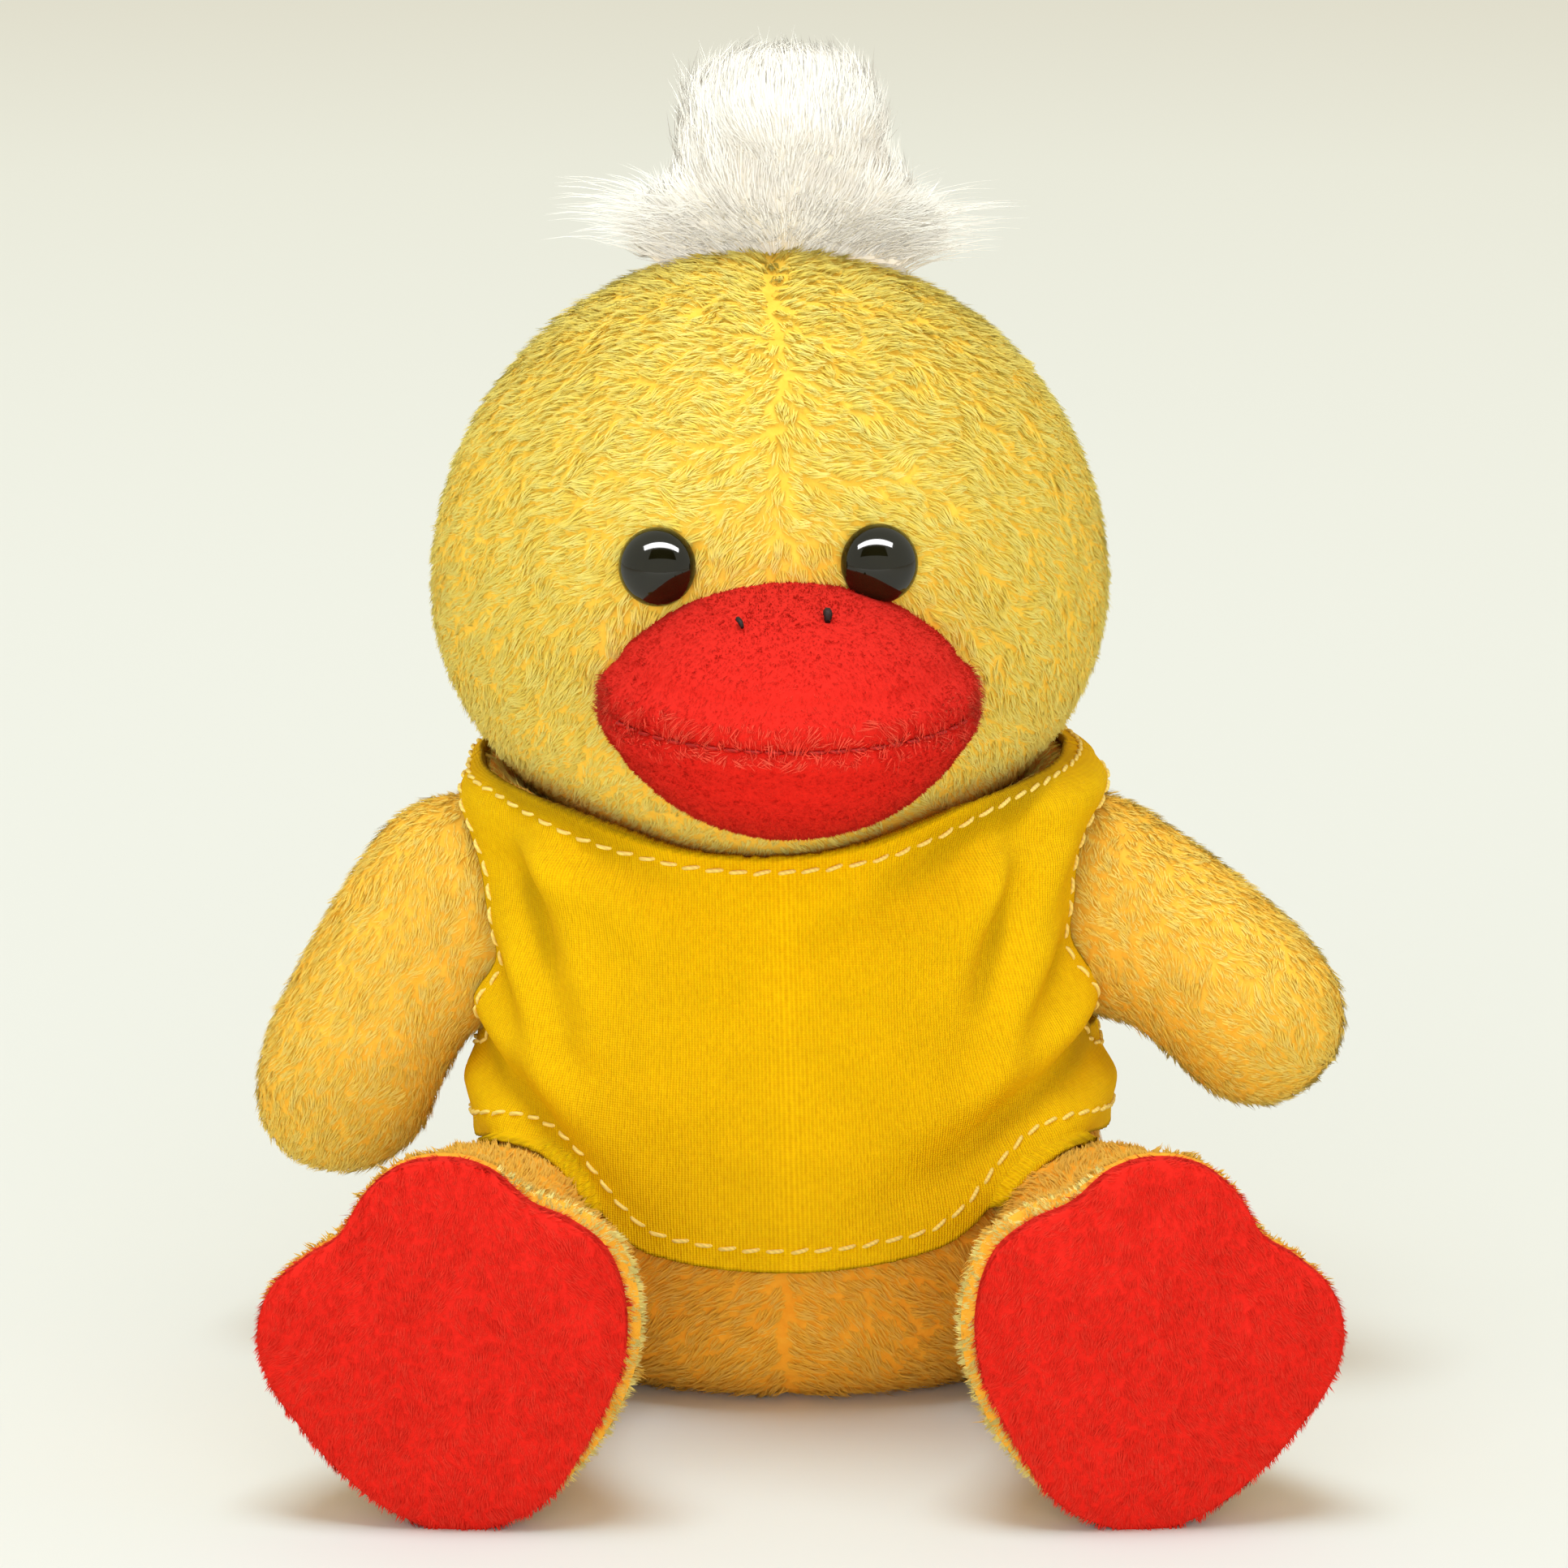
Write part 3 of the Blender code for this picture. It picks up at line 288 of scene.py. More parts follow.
def bumped(tree, shader, height, deep, strength):
    bump = {"Height": height, "Distance": deep * MM, "Strength": strength}
    feed(shader, {"Normal": add_node(tree, "Bump", bump)["Normal"]})


def backing_material(name, dark, light, size):
    """The cloth under the pile: its two colours mottled, with a fine fleecy bump. Under plush, the
    dark one is the pile's root colour of painted shade.
    """
    material, tree, shader = new_material(name, 0.95, 0.1)
    cloth = {"Scale": 1 / (size * MM), "Dark": (*dark, 1), "Light": (*light, 1)}
    mottle = add_node(tree, "Group", cloth, node_tree=MOTTLE)
    feed(shader, {"Base Color": mottle["Colour"]})
    bumped(tree, shader, mottle["Height"], 0.25, 0.7)
    return material


def surface_samples(piece, count, rng):
    """Points spread evenly over a piece, in millimetres, and the way out of it at each."""
    mesh = piece.data
    mesh.calc_loop_triangles()

    def read(rows, field, kind=float):
        values = np.zeros(len(rows) * 3, kind)
        rows.foreach_get(field, values)
        return values.reshape(-1, 3)

    corners = read(mesh.vertices, "co") / MM
    outs = read(mesh.vertex_normals, "vector")
    triangles = read(mesh.loop_triangles, "vertices", int)
    a, b, c = (corners[triangles[:, i]] for i in range(3))
    area = np.linalg.norm(np.cross(b - a, c - a), axis=1)
    pick = triangles[rng.choice(len(triangles), count, p=area / area.sum())]
    u, v = rng.random(count), rng.random(count)
    over = u + v > 1
    u[over], v[over] = 1 - u[over], 1 - v[over]
    weights = np.column_stack((1 - u - v, u, v))[:, :, None]
    point = (corners[pick] * weights).sum(1)
    out = (outs[pick] * weights).sum(1)
    return point, out / np.linalg.norm(out, axis=1)[:, None]


def strand_piece(name, points, normals, triangles, along, lock, material):
    """Strands as one mesh. Each point knows how far along it is, and its lock's tone."""
    points, normals, triangles, along = map(np.concatenate, (points, normals, triangles, along))
    mesh = bpy.data.meshes.new(name)
    mesh.vertices.add(len(points))
    mesh.vertices.foreach_set("co", (points * MM).astype(np.float32).ravel())
    mesh.loops.add(triangles.size)
    mesh.loops.foreach_set("vertex_index", triangles.ravel().astype(np.int32))
    mesh.polygons.add(len(triangles))
    mesh.polygons.foreach_set("loop_start", np.arange(0, triangles.size, 3, dtype=np.int32))
    mesh.update(calc_edges=True)
    mesh.shade_smooth()
    mesh.normals_split_custom_set_from_vertices(normals.tolist())
    add_values(mesh, "along", along)
    add_values(mesh, "lock", np.tile(lock, len(points) // len(lock)))
    mesh.materials.append(material)
    return add_object(name, mesh)


def add_values(mesh, name, values):
    layer = mesh.attributes.new(name, "FLOAT", "POINT")
    layer.data.foreach_set("value", values.astype(np.float32))


def strand_mesh(name, rows, widths, sides, outs, lock, material):
    """Flat tapering strands. rows holds each strand's points from root to tip."""
    levels, count = len(rows), len(rows[0])
    front = (np.cross(sides, rows[-1] - rows[0]) * outs).sum(1)
    sides = np.where(front[:, None] < 0, -sides, sides)
    points, normals, along, triangles = [], [], [], []
    for level, (row, width) in enumerate(zip(rows, widths)):
        last = level == levels - 1
        for sign in (0,) if last else (-1, 1):
            points.append(row + sign * sides * width[:, None] / 2)
            normals.append(unit(outs + sign * 0.55 * sides))
            along.append(np.full(count, level / (levels - 1)))
        if last:
            continue
        left = np.arange(count) + 2 * level * count
        right, next_left, next_right = left + count, left + 2 * count, left + 3 * count
        if level == levels - 2:
            triangles.append(np.column_stack((left, right, next_left)))
        else:
            triangles.append(np.column_stack((left, right, next_right)))
            triangles.append(np.column_stack((left, next_right, next_left)))
    return strand_piece(name, points, normals, triangles, along, lock, material)


def along_surface(way, out):
    return way - (way * out).sum(1)[:, None] * out


def bowed(start, bend, end, t):
    return start * (1 - t) ** 2 + bend * 2 * t * (1 - t) + end * t**2


def grow_pile(name, skin, material, flow, keep, per_mm2, length, width, lift, seed,
              per_lock=9, swirl=0.8, swirl_size=6.0, pull=0.55, trim=None):
    """Pile on a skin. The strands of a lock lean together along flow, and share a tip."""
    rng = np.random.default_rng(seed)
    area = sum(face.area for face in skin.data.polygons) / MM**2
    root, out = surface_samples(skin, int(area * per_mm2), rng)
    kept = rng.random(len(root)) < keep(root)
    root, out = root[kept], out[kept]
    heart, heart_out = surface_samples(skin, max(4, int(area * per_mm2 / per_lock)), rng)
    turn = (lumps(heart, swirl_size, seed) + 0.4 * lumps(heart, 2.0, seed + 1)) * swirl
    way = unit(along_surface(flow(heart), heart_out))
    across = np.cross(heart_out, way)
    way = way * np.cos(turn)[:, None] + across * np.sin(turn)[:, None]
    tall = length * (0.75 + 0.5 * rng.random(len(heart))) * (1 if trim is None else trim(heart))
    rise = np.clip(lift * (0.6 + 0.8 * rng.random(len(heart))), 0, 0.97)
    tilt = way * np.sqrt(1 - rise**2)[:, None] + heart_out * rise[:, None]
    lock_tip = heart + tilt * tall[:, None]
    tree = kdtree.KDTree(len(heart))
    for i, point in enumerate(heart):
        tree.insert(point, i)
    tree.balance()
    near = np.array([tree.find(point)[1] for point in root], int)
    lean = unit(along_surface(way[near], out) + 0.16 * rng.normal(size=root.shape))
    reach = (tall[near] * (0.8 + 0.4 * rng.random(len(root))))[:, None]
    up = rise[near][:, None]
    own_tip = root + (lean * np.sqrt(1 - up**2) + out * up) * reach
    tip = own_tip * (1 - pull) + (lock_tip[near] + 0.18 * rng.normal(size=root.shape)) * pull
    start = root - out * PILE_SINK
    bend = start + (out * (0.42 + 0.3 * up) + lean * 0.22) * reach * 0.75
    rows = [bowed(start, bend, tip, t) for t in (0.0, 0.5, 1.0)]
    broad = width * (0.7 + 0.6 * rng.random(len(root)))
    roll = rng.normal(size=len(root))[:, None] * 0.35
    side = unit(np.cross(out, lean) + roll * out)
    lock = rng.random(len(heart))[near] * 0.75 + rng.random(len(root)) * 0.25
    facing = unit(out + 0.35 * lean)
    return strand_mesh(name, rows, (broad, broad * 0.8, broad * 0), side, facing, lock, material)


def above_bowl(points):
    """Millimetres by which points lie outside the hollow that the head sits in."""
    return (np.linalg.norm((points - HEAD_CENTRE) / BOWL_HALF_AXES, axis=1) - 1) * 36


def above_neckline(points):
    """Millimetres outside the neckline, which is cut lower in front and at the shoulders."""
    shoulder = (points[:, 0] / TORSO_HALF_WIDTH) ** 2
    return above_bowl(points) + 0.5 + 0.4 * np.tanh(points[:, 1] / 10) - 1.6 * shoulder


def hem_height(x):
    return HEM_FRONT_HEIGHT + HEM_SIDE_RISE * (x / TORSO_HALF_WIDTH) ** 2


def into_bowl(points, half_axes, nape=1.0):
    """Presses the torso's top down into the hollow under the head."""
    offset = (points - HEAD_CENTRE) / half_axes
    offset[:, 1] *= np.where(offset[:, 1] > 0, nape, 1)
    flat = np.clip(1 - offset[:, 0] ** 2 - offset[:, 1] ** 2, 0, 1)
    floor = HEAD_CENTRE[2] - half_axes[2] * np.sqrt(flat)
    points[:, 2] = np.where(flat > 0, np.minimum(points[:, 2], floor), points[:, 2])
    return points


def shaded_plush_materials(name, by):
    """The backing and the pile of plush, warmer and deeper by a share: painted shade, for the same
    cloth where it lies further in shadow.
    """
    colours = [
        (red * (1 - 0.01 * by), green * (1 - 0.34 * by), blue * (1 - 0.58 * by))
        for red, green, blue in (PLUSH_SHADED_ROOT, PLUSH_MIDDLE, PLUSH_LIT_TIP)
    ]
    backing = backing_material(f"{name} backing", colours[0], colours[1], 1.3)
    return backing, pile_material(f"{name} pile", *colours)


# The belly, under the head, gets the most painted shade.
belly_backing, belly_pile = shaded_plush_materials("belly plush with painted shade", 1.02)

shares, angles, faces = ball_grid(120, 90)
points = torso_points(shares, angles, -0.3)
seam = np.exp(-((points[:, 0] - BELLY_SEAM_X) / 0.9) ** 2) * (points[:, 1] < 0)
points[:, 1] += seam * 0.9
points = into_bowl(points, PLUSH_BOWL_HALF_AXES, NAPE_SHARE)
torso = add_piece("torso_plush", points, faces, belly_backing)
fit(torso, "neck", "torso_skin")


def belly_flow(points):
    aside = np.sign(points[:, 0] - BELLY_SEAM_X) * 0.9
    return ways(aside, 0.0, np.where(points[:, 2] > 45, 1.0, -0.7))


def outside_vest(points):
    return (points[:, 2] < hem_height(points[:, 0]) + 4) & (points[:, 2] > 0.6)


def neck_rim(points):
    off_middle = (points - HEAD_CENTRE)[:, :2] / PLUSH_BOWL_HALF_AXES[:2]
    bare = (above_bowl(points) < 0.6) | (above_neckline(points) < -0.2)
    return bare & (np.linalg.norm(off_middle, axis=1) > 0.62) & (points[:, 1] > -17)


# The neck rim gets a little painted shade.
_, neck_gold = shaded_plush_materials("neck plush", 0.15)
for name, gold, keep, seed in (
    ("torso_pile", belly_pile, outside_vest, 11), ("neck_pile", neck_gold, neck_rim, 12)
):
    pile = grow_pile(name, torso, gold, belly_flow, keep, per_mm2=7.0, seed=seed, **PLUSH_PILE)
    fit(pile, "neck")

# Stuffing: white polyester fibre pushed into each bag before it is closed, and in the seat
# a small sewn pouch of plastic pellets that makes the toy sit.
FIBRE_INSET = 2.2
POUCH_CENTRE = (2.0, 5.0, 8.5)
POUCH_HALF_AXES = (13.3, 11.8, 6.8)
fibre = backing_material("polyester fibre", (0.72, 0.72, 0.71), (0.95, 0.95, 0.94), 1.6)
pouch_cloth = backing_material("pouch cloth", (0.62, 0.60, 0.55), (0.80, 0.78, 0.74), 0.5)


def stuff(name, points, faces, body, node, seed):
    points = points + lumps(points, 5.0, seed)[:, None] * 0.35
    fit(add_piece(name, points, faces, fibre), body, node)


def round_ball(sides, rings):
    """The points and faces of a ball with a radius of 1."""
    shares, angles, faces = ball_grid(sides, rings)
    level = math.pi * (shares - 0.5)
    ring = np.cos(level)
    return np.column_stack((ring * np.cos(angles), ring * np.sin(angles), np.sin(level))), faces


shares, angles, faces = ball_grid(56, 36)
points = torso_points(shares, angles, -FIBRE_INSET)
points = into_bowl(points, BOWL_HALF_AXES + FIBRE_INSET)
stuff("torso_fibre", points, faces, "neck", "torso_stuffing", 3)

points, faces = round_ball(40, 24)
points[:, 2] = np.sign(points[:, 2]) * abs(points[:, 2]) ** 0.8
pouch = add_piece("pouch", points * POUCH_HALF_AXES + POUCH_CENTRE, faces, pouch_cloth)
fit(pouch, "torso", "pellet_pouch")

# Legs: two plush tubes sewn to the front of the torso, stretched straight forward.
# Each foot flares to three webbed lobes, closed by a red sole panel sewn inside the edge.
HIP_HALF_SPACING = 31.0
HIP_CENTRE_X = 1.6
HIP_Y = -21.5
HIP_HEIGHT = 13.7
LEG_ROOT_RADIUS = 14.0
LEG_ROOT_HALF_WIDTH = 11.3
LEG_ROOT_SQUARENESS = 3.2
LEG_ROOT_SHARE = 1 / 3
LEG_END_SHARE = 11 / 12
LEG_LENGTH = 43.5
LEG_OUT_DEG = {1: 6.0, -1: 4.5}
FOOT_CENTRE_HEIGHT = 19.0
FOOT_RISE = FOOT_CENTRE_HEIGHT - HIP_HEIGHT
FOOT_HALF_WIDTH = 19.6
FOOT_HALF_HEIGHT = 19.7
SOLE_INSET = 0.45
SOLE_INNER_INSET = 1.25
# Each row: length, how far the tube has turned into the foot, and size, all as shares.
LEG_SHARES = (
    (0.0, 0.0, 1.0), (0.16, 0.0, 0.94), (0.32, 0.0, 0.88), (0.50, 0.05, 0.87),
    (0.66, 0.25, 0.90), (0.82, 0.66, 0.96), (0.94, 0.95, 1.0), (1.0, 1.0, 1.0),
)
# Each pair: degrees round the sole from its top, and its reach there as a share.
SOLE_SHARES = (
    (0.0, 0.99), (14.0, 0.98), (26.0, 0.92), (45.0, 0.81), (60.0, 0.88), (75.0, 0.98),
    (90.0, 1.0), (105.0, 0.96), (120.0, 0.905), (140.0, 0.90), (158.0, 0.94), (180.0, 1.0),
    (200.0, 0.99), (225.0, 0.945), (247.0, 0.945), (263.0, 0.975), (280.0, 1.01),
    (302.0, 1.04), (316.0, 0.99), (332.0, 0.91), (350.0, 0.97),
)
SOLE_THICKNESS = 2.0
SOLE_CROWN = 2.6
SOLE_RIM_SHARE = 1.15
# Red pile: its root colour is painted shade between the locks, its tip colour a painted highlight.
# The red backing takes the shaded root colour.
RED_SHADED_ROOT = (0.60, 0.012, 0.007)
RED_MIDDLE = (0.80, 0.020, 0.011)
RED_LIT_TIP = (0.90, 0.045, 0.026)
# The yellow edge pile's root, middle and tip: a root of painted shade and a tip of painted
# highlight.
EDGE_GOLD = ((1.0, 0.66, 0.13), (1.0, 0.78, 0.21), (1.0, 0.86, 0.31))


def sole_reach(turn):
    """How far the lobed outline lies from the sole's middle, as a share, at these degrees."""
    starts, values = np.array(SOLE_SHARES).T
    starts = np.append(starts, 360.0)
    first = np.searchsorted(starts, turn, side="right") - 1
    first = np.clip(first, 0, len(values) - 1)
    s = (turn - starts[first]) / (starts[first + 1] - starts[first])
    return smooth_step(*(values[(first + step) % len(values)] for step in (-1, 0, 1, 2)), s)


def sole_outline(angle, side, inset):
    """Across and up on the sole, for angles that turn as the leg's own do."""
    turn = np.degrees(np.arctan2(side * np.cos(angle), np.sin(angle))) % 360
    reach = sole_reach(turn)
    return (
        np.cos(angle) * (reach * FOOT_HALF_WIDTH - inset),
        np.sin(angle) * (reach * FOOT_HALF_HEIGHT - inset),
    )


def squared_off(up, angle):
    """Across on a squarish ring, from the height on it."""
    across = (1 - abs(up) ** LEG_ROOT_SQUARENESS) ** (1 / LEG_ROOT_SQUARENESS)
    return np.sign(np.cos(angle)) * across


def leg_points(share, angle, side, inset):
    """A leg along -Y from its hip, with the hip's line along X."""
    radius, half = LEG_ROOT_RADIUS - inset, LEG_ROOT_HALF_WIDTH - inset
    bend = np.clip(share / LEG_ROOT_SHARE, 0, 1) * math.pi / 2
    back, up = np.cos(bend), np.sin(bend) * np.sin(angle)
    way = np.clip((share - LEG_ROOT_SHARE) / (LEG_END_SHARE - LEG_ROOT_SHARE), 0, 1)
    out, lobed, size = shares_at(LEG_SHARES, way)
    foot_x, foot_z = sole_outline(angle, side, inset)
    x = (1 - lobed) * size * squared_off(np.sin(angle), angle) * half + lobed * foot_x
    z = (1 - lobed) * size * np.sin(angle) * radius + lobed * (foot_z + FOOT_RISE)
    root = share < LEG_ROOT_SHARE
    x = np.where(root, squared_off(np.minimum(1, np.hypot(back, up)), angle) * half, x)
    y = np.where(root, back * radius, -out * LEG_LENGTH)
    z = np.where(root, up * radius, z)
    cap = share > LEG_END_SHARE + 1e-6
    x, z = np.where(cap, 0, x), np.where(cap, FOOT_RISE, z)
    return np.column_stack((x, y, np.maximum(z, inset - HIP_HEIGHT)))


def towards_other_foot(angle, side):
    return -side * np.cos(angle + side * 0.15)


def sole_inset(angle, side):
    """The sole is sewn further in on the side towards the other foot."""
    inner = np.clip((towards_other_foot(angle, side) - 0.35) / 0.5, 0, 1)
    return SOLE_INSET + SOLE_INNER_INSET * inner**2 * (3 - 2 * inner)


def sole_points(share, angle, side, inset):
    reach = np.minimum(1, SOLE_RIM_SHARE * (1 - abs(2 * share - 1)))
    x, z = sole_outline(angle, side, inset)
    crown = SOLE_THICKNESS + SOLE_CROWN * (1 - reach**2.4)
    edge = np.clip((share - 0.5) / 0.08, 0, 1)
    front = np.where(share <= 0.5, 0, crown * np.sqrt(1 - (1 - edge) ** 2))
    height = np.maximum(FOOT_RISE + z * reach, -HIP_HEIGHT)
    return np.column_stack((x * reach, -LEG_LENGTH - 0.3 - front, height))


def hip_turn(side):
    place = np.array((HIP_CENTRE_X + side * HIP_HALF_SPACING, HIP_Y, HIP_HEIGHT))
    out = math.radians(side * LEG_OUT_DEG[side])
    return place, np.array(Matrix.Rotation(out, 3, "Z"))


# The legs get much painted shade.
leg_backing, leg_gold = shaded_plush_materials("leg plush with painted shade", 0.8)
plush_edge = pile_material("yellow plush edge", *EDGE_GOLD)
red_backing = backing_material("red plush backing", RED_SHADED_ROOT, RED_MIDDLE, 0.6)
red_pile = pile_material("red plush pile", RED_SHADED_ROOT, RED_MIDDLE, RED_LIT_TIP)

for side, word in ((1, "left"), (-1, "right")):
    body = f"leg_{word}"
    place, turn = hip_turn(side)

    def on_leg(points):
        return (points - place) @ turn

    shares, angles, faces = ball_grid(112, 84)
    points = leg_points(shares, angles, side, 0.4) @ turn.T + place
    leg = add_piece(f"leg_plush_{word}", points, faces, leg_backing)
    fit(leg, body, f"leg_skin_{word}")

    def leg_flow(points):
        return ways(0.03 * on_leg(points)[:, 0], 1.0, -0.25)

    def off_sole(points):
        forward = on_leg(points)[:, 1]
        across, along = points[:, 0], points[:, 1] - TORSO_CENTRE_Y
        beside = np.hypot(across / TORSO_HALF_WIDTH, along / TORSO_HALF_DEPTH) > 0.95
        return (forward > -LEG_LENGTH + 0.4) & ((forward < 4) | beside) & (points[:, 2] > 0.5)

    leg_pile = grow_pile(f"leg_pile_{word}", leg, leg_gold, leg_flow, off_sole,
                         per_mm2=6.5, seed=21 + side, **PLUSH_PILE)
    fit(leg_pile, body)

    def round_sole(points):
        x, y, z = on_leg(points).T
        angle = np.arctan2(z - FOOT_RISE, x)
        edge_x, edge_z = sole_outline(angle, side, sole_inset(angle, side) + 0.5)
        beyond = np.hypot(x, z - FOOT_RISE) > np.hypot(edge_x, edge_z)
        inner = towards_other_foot(angle, side) > 0.4
        return beyond & inner & (y < -LEG_LENGTH + 0.5) & (points[:, 2] > 0.8)

    def edge_flow(points):
        local = on_leg(points)
        return ways(local[:, 0], 0.0, 0.4 * (local[:, 2] - 5)) @ turn.T

    edge_pile = grow_pile(f"leg_edge_pile_{word}", leg, plush_edge, edge_flow, round_sole,
                          per_mm2=24.0, length=0.8, width=0.18, lift=0.85, seed=26 + side, pull=0.3)
    fit(edge_pile, body)

    shares, angles, faces = ball_grid(56, 36)
    points = leg_points(shares, angles, side, FIBRE_INSET) @ turn.T + place
    stuff(f"leg_fibre_{word}", points, faces, body, f"leg_stuffing_{word}", 4 + side)

    shares, angles, faces = ball_grid(144, 100)
    local = sole_points(shares, angles, side, sole_inset(angles, side))
    rim = np.clip(1 - abs(2 * shares - 1), 0, 1)
    quilting = 0.35 * lumps(local, 6.5, 31 + side) * np.minimum(1, 3 * (1 - rim))
    local[:, 1] -= (shares > 0.5) * quilting
    sole = add_piece(f"sole_{word}", local @ turn.T + place, faces, red_backing)
    fit(sole, body, f"foot_sole_{word}")

    def sole_flow(points):
        return ways(0.5 * on_leg(points)[:, 0] / FOOT_HALF_WIDTH, 0.0, -0.8)

    def on_face(points):
        return on_leg(points)[:, 1] < -LEG_LENGTH - 0.5

    sole_pile = grow_pile(f"sole_pile_{word}", sole, red_pile, sole_flow, on_face,
                          per_mm2=15.0, length=0.9, width=0.16, lift=0.4, seed=41 + side,
                          swirl=1.0, swirl_size=4.0, pull=0.35)
    fit(sole_pile, body)

# Arms: two flat plush paddles, each sewn to the torso along its root at the vest's armhole.
# The nap runs to the tip, where it stands out most.
SHOULDER_HALF_SPACING = 33.8
SHOULDER_HEIGHT = 49.0
ARM_ROOT_RADIUS = 12.2
ARM_ROOT_HALF_THICKNESS = 9.4
ARM_ROOT_SHARE = 0.3
ARM_LENGTH = 32.4
ARM_FORWARD_DEG = {1: 34.0, -1: 4.0}
ARM_DOWN_DEG = {1: 24.0, -1: 55.0}
ARM_PLUMP_BELOW = 0.18
ARM_SLACK = {1: 0.0, -1: 0.05}
# Each row: length, reach above the middle, reach below it and thickness, all as shares.
ARM_SHARES = (
    (0.0, 1.0, 1.0, 1.0), (0.17, 0.99, 0.80, 1.0), (0.34, 0.96, 0.62, 1.0),
    (0.52, 0.90, 0.64, 1.0), (0.70, 0.80, 0.72, 0.97), (0.86, 0.62, 0.62, 0.80),
    (0.96, 0.34, 0.34, 0.46), (1.0, 0.0, 0.0, 0.0),
)


def arm_points(share, angle, inset):
    """An arm along X from its shoulder, with the shoulder's line along Y."""
    across, along = np.cos(angle), np.sin(angle)
    radius, half = ARM_ROOT_RADIUS - inset, ARM_ROOT_HALF_THICKNESS - inset
    bend = np.clip(share / ARM_ROOT_SHARE, 0, 1) * math.pi / 2
    ring = np.sin(bend)
    way = np.clip((share - ARM_ROOT_SHARE) / (1 - ARM_ROOT_SHARE), 0, 1)
    out, above, below, thick = shares_at(ARM_SHARES, way)
    edge = np.where(along > 0, above, below)
    root = share < ARM_ROOT_SHARE
    x = np.where(root, -radius * np.cos(bend), out * (ARM_LENGTH - inset))
    y = np.where(root, half * ring * across, thick * half * across)
    z = np.where(root, radius * ring * along, edge * radius * along)
    return np.column_stack((x, y, z))


def shoulder_turn(side):
    place = np.array((side * SHOULDER_HALF_SPACING, 0, SHOULDER_HEIGHT))
    yaw = math.radians(-ARM_FORWARD_DEG[side] if side > 0 else 180 + ARM_FORWARD_DEG[side])
    down = math.radians(ARM_DOWN_DEG[side])
    return place, np.array(Matrix.Rotation(yaw, 3, "Z") @ Matrix.Rotation(down, 3, "Y"))


# The arms get some painted shade; the head, below, gets none.
arm_backing, arm_gold = shaded_plush_materials("gold plush", 0.4)
for side, word in ((1, "left"), (-1, "right")):
    body = f"arm_{word}"
    place, turn = shoulder_turn(side)

    def on_arm(points):
        return (points - place) @ turn

    shares, angles, faces = ball_grid(96, 80)
    local = arm_points(shares, angles, 0.4)
    outward = np.clip(local[:, 0] / ARM_LENGTH, 0, 1)
    plump = 1 + ARM_PLUMP_BELOW * np.clip(outward / 0.3, 0, 1)
    local[:, 2] *= np.where(local[:, 2] < 0, plump, 1)
    local[:, 0] *= 1 + ARM_SLACK[side] * outward
    arm = add_piece(f"arm_plush_{word}", local @ turn.T + place, faces, arm_backing)
    fit(arm, body, f"arm_skin_{word}")

    def arm_flow(points):
        local = on_arm(points)
        return ways(1.0, 0.02 * local[:, 1], -0.03 * local[:, 2] - 0.12) @ turn.T

    def off_root(points):
        return on_arm(points)[:, 0] > -ARM_ROOT_RADIUS

    arm_pile = grow_pile(f"arm_pile_{word}", arm, arm_gold, arm_flow, off_root,
                         per_mm2=9.5, length=1.4, width=0.20, lift=0.26, seed=51 + side,
                         per_lock=7, swirl=1.0, swirl_size=4.5)
    fit(arm_pile, body)

    shares, angles, faces = ball_grid(56, 36)
    points = arm_points(shares, angles, FIBRE_INSET) @ turn.T + place
    stuff(f"arm_fibre_{word}", points, faces, body, f"arm_stuffing_{word}", 7 + side)

# Head: a big egg of yellow plush in two halves, with a seam from the tuft down to the bill.
# The nap runs out and down from that seam, and lies smoother low on the cheeks.
HEAD_HALF_WIDTH = 36.3
HEAD_HALF_DEPTH = 32.0
HEAD_RISE = 35.8
HEAD_DROP = 30.4
HEAD_CHIN_SHARE = 0.37
NECK_PIVOT = np.array((-1.0, 0.0, 60.0))
HEAD_TURN = np.array(Matrix.Rotation(math.radians(2.2), 3, "Z"))
EYES = (("left", 10.0, 7.4), ("right", -12.5, 7.1))
EYE_RADIUS = 4.1
TUFT_FRONT_SHARE = 0.05
TUFT_X = 1.5
TUFT_Y = 1.5
BILL_CENTRE = np.array((0.8, -30.0, -6.8))
BILL_HALF_WIDTH = 19.4
BILL_LENGTH = 27.0
BILL_RISE = 12.8
BILL_DROP = 13.6


def head_points(share, angle, outset):
    """The head about its own middle, before it turns on the neck."""
    level = math.pi * (share - 0.5)
    up = np.sin(level)
    tall = np.where(up > 0, HEAD_RISE + outset, HEAD_DROP + outset)
    ring = np.cos(level)
    low, front = np.clip((-0.35 - up) / 0.5, 0, 1), np.clip(-np.sin(angle), 0, 1)
    return np.column_stack((
        (HEAD_HALF_WIDTH + outset) * ring * np.cos(angle),
        (HEAD_HALF_DEPTH + outset) * ring * np.sin(angle) * (1 + HEAD_CHIN_SHARE * low * front),
        up * tall,
    ))


def head_to_world(local):
    return (local + HEAD_CENTRE - NECK_PIVOT) @ HEAD_TURN.T + NECK_PIVOT


def head_local(points):
    return (points - NECK_PIVOT) @ HEAD_TURN - (HEAD_CENTRE - NECK_PIVOT)


plush_backing, plush_pile = shaded_plush_materials("yellow plush", 0.0)
shares, angles, faces = ball_grid(160, 120)
local = head_points(shares, angles, -0.4)
front_seam = np.exp(-(local[:, 0] / 0.8) ** 2) * (local[:, 1] < 8) * (local[:, 2] > -8)
local *= 1 - 0.012 * front_seam[:, None]
head = add_piece("head_plush", head_to_world(local), faces, plush_backing)
fit(head, "head", "head_skin")


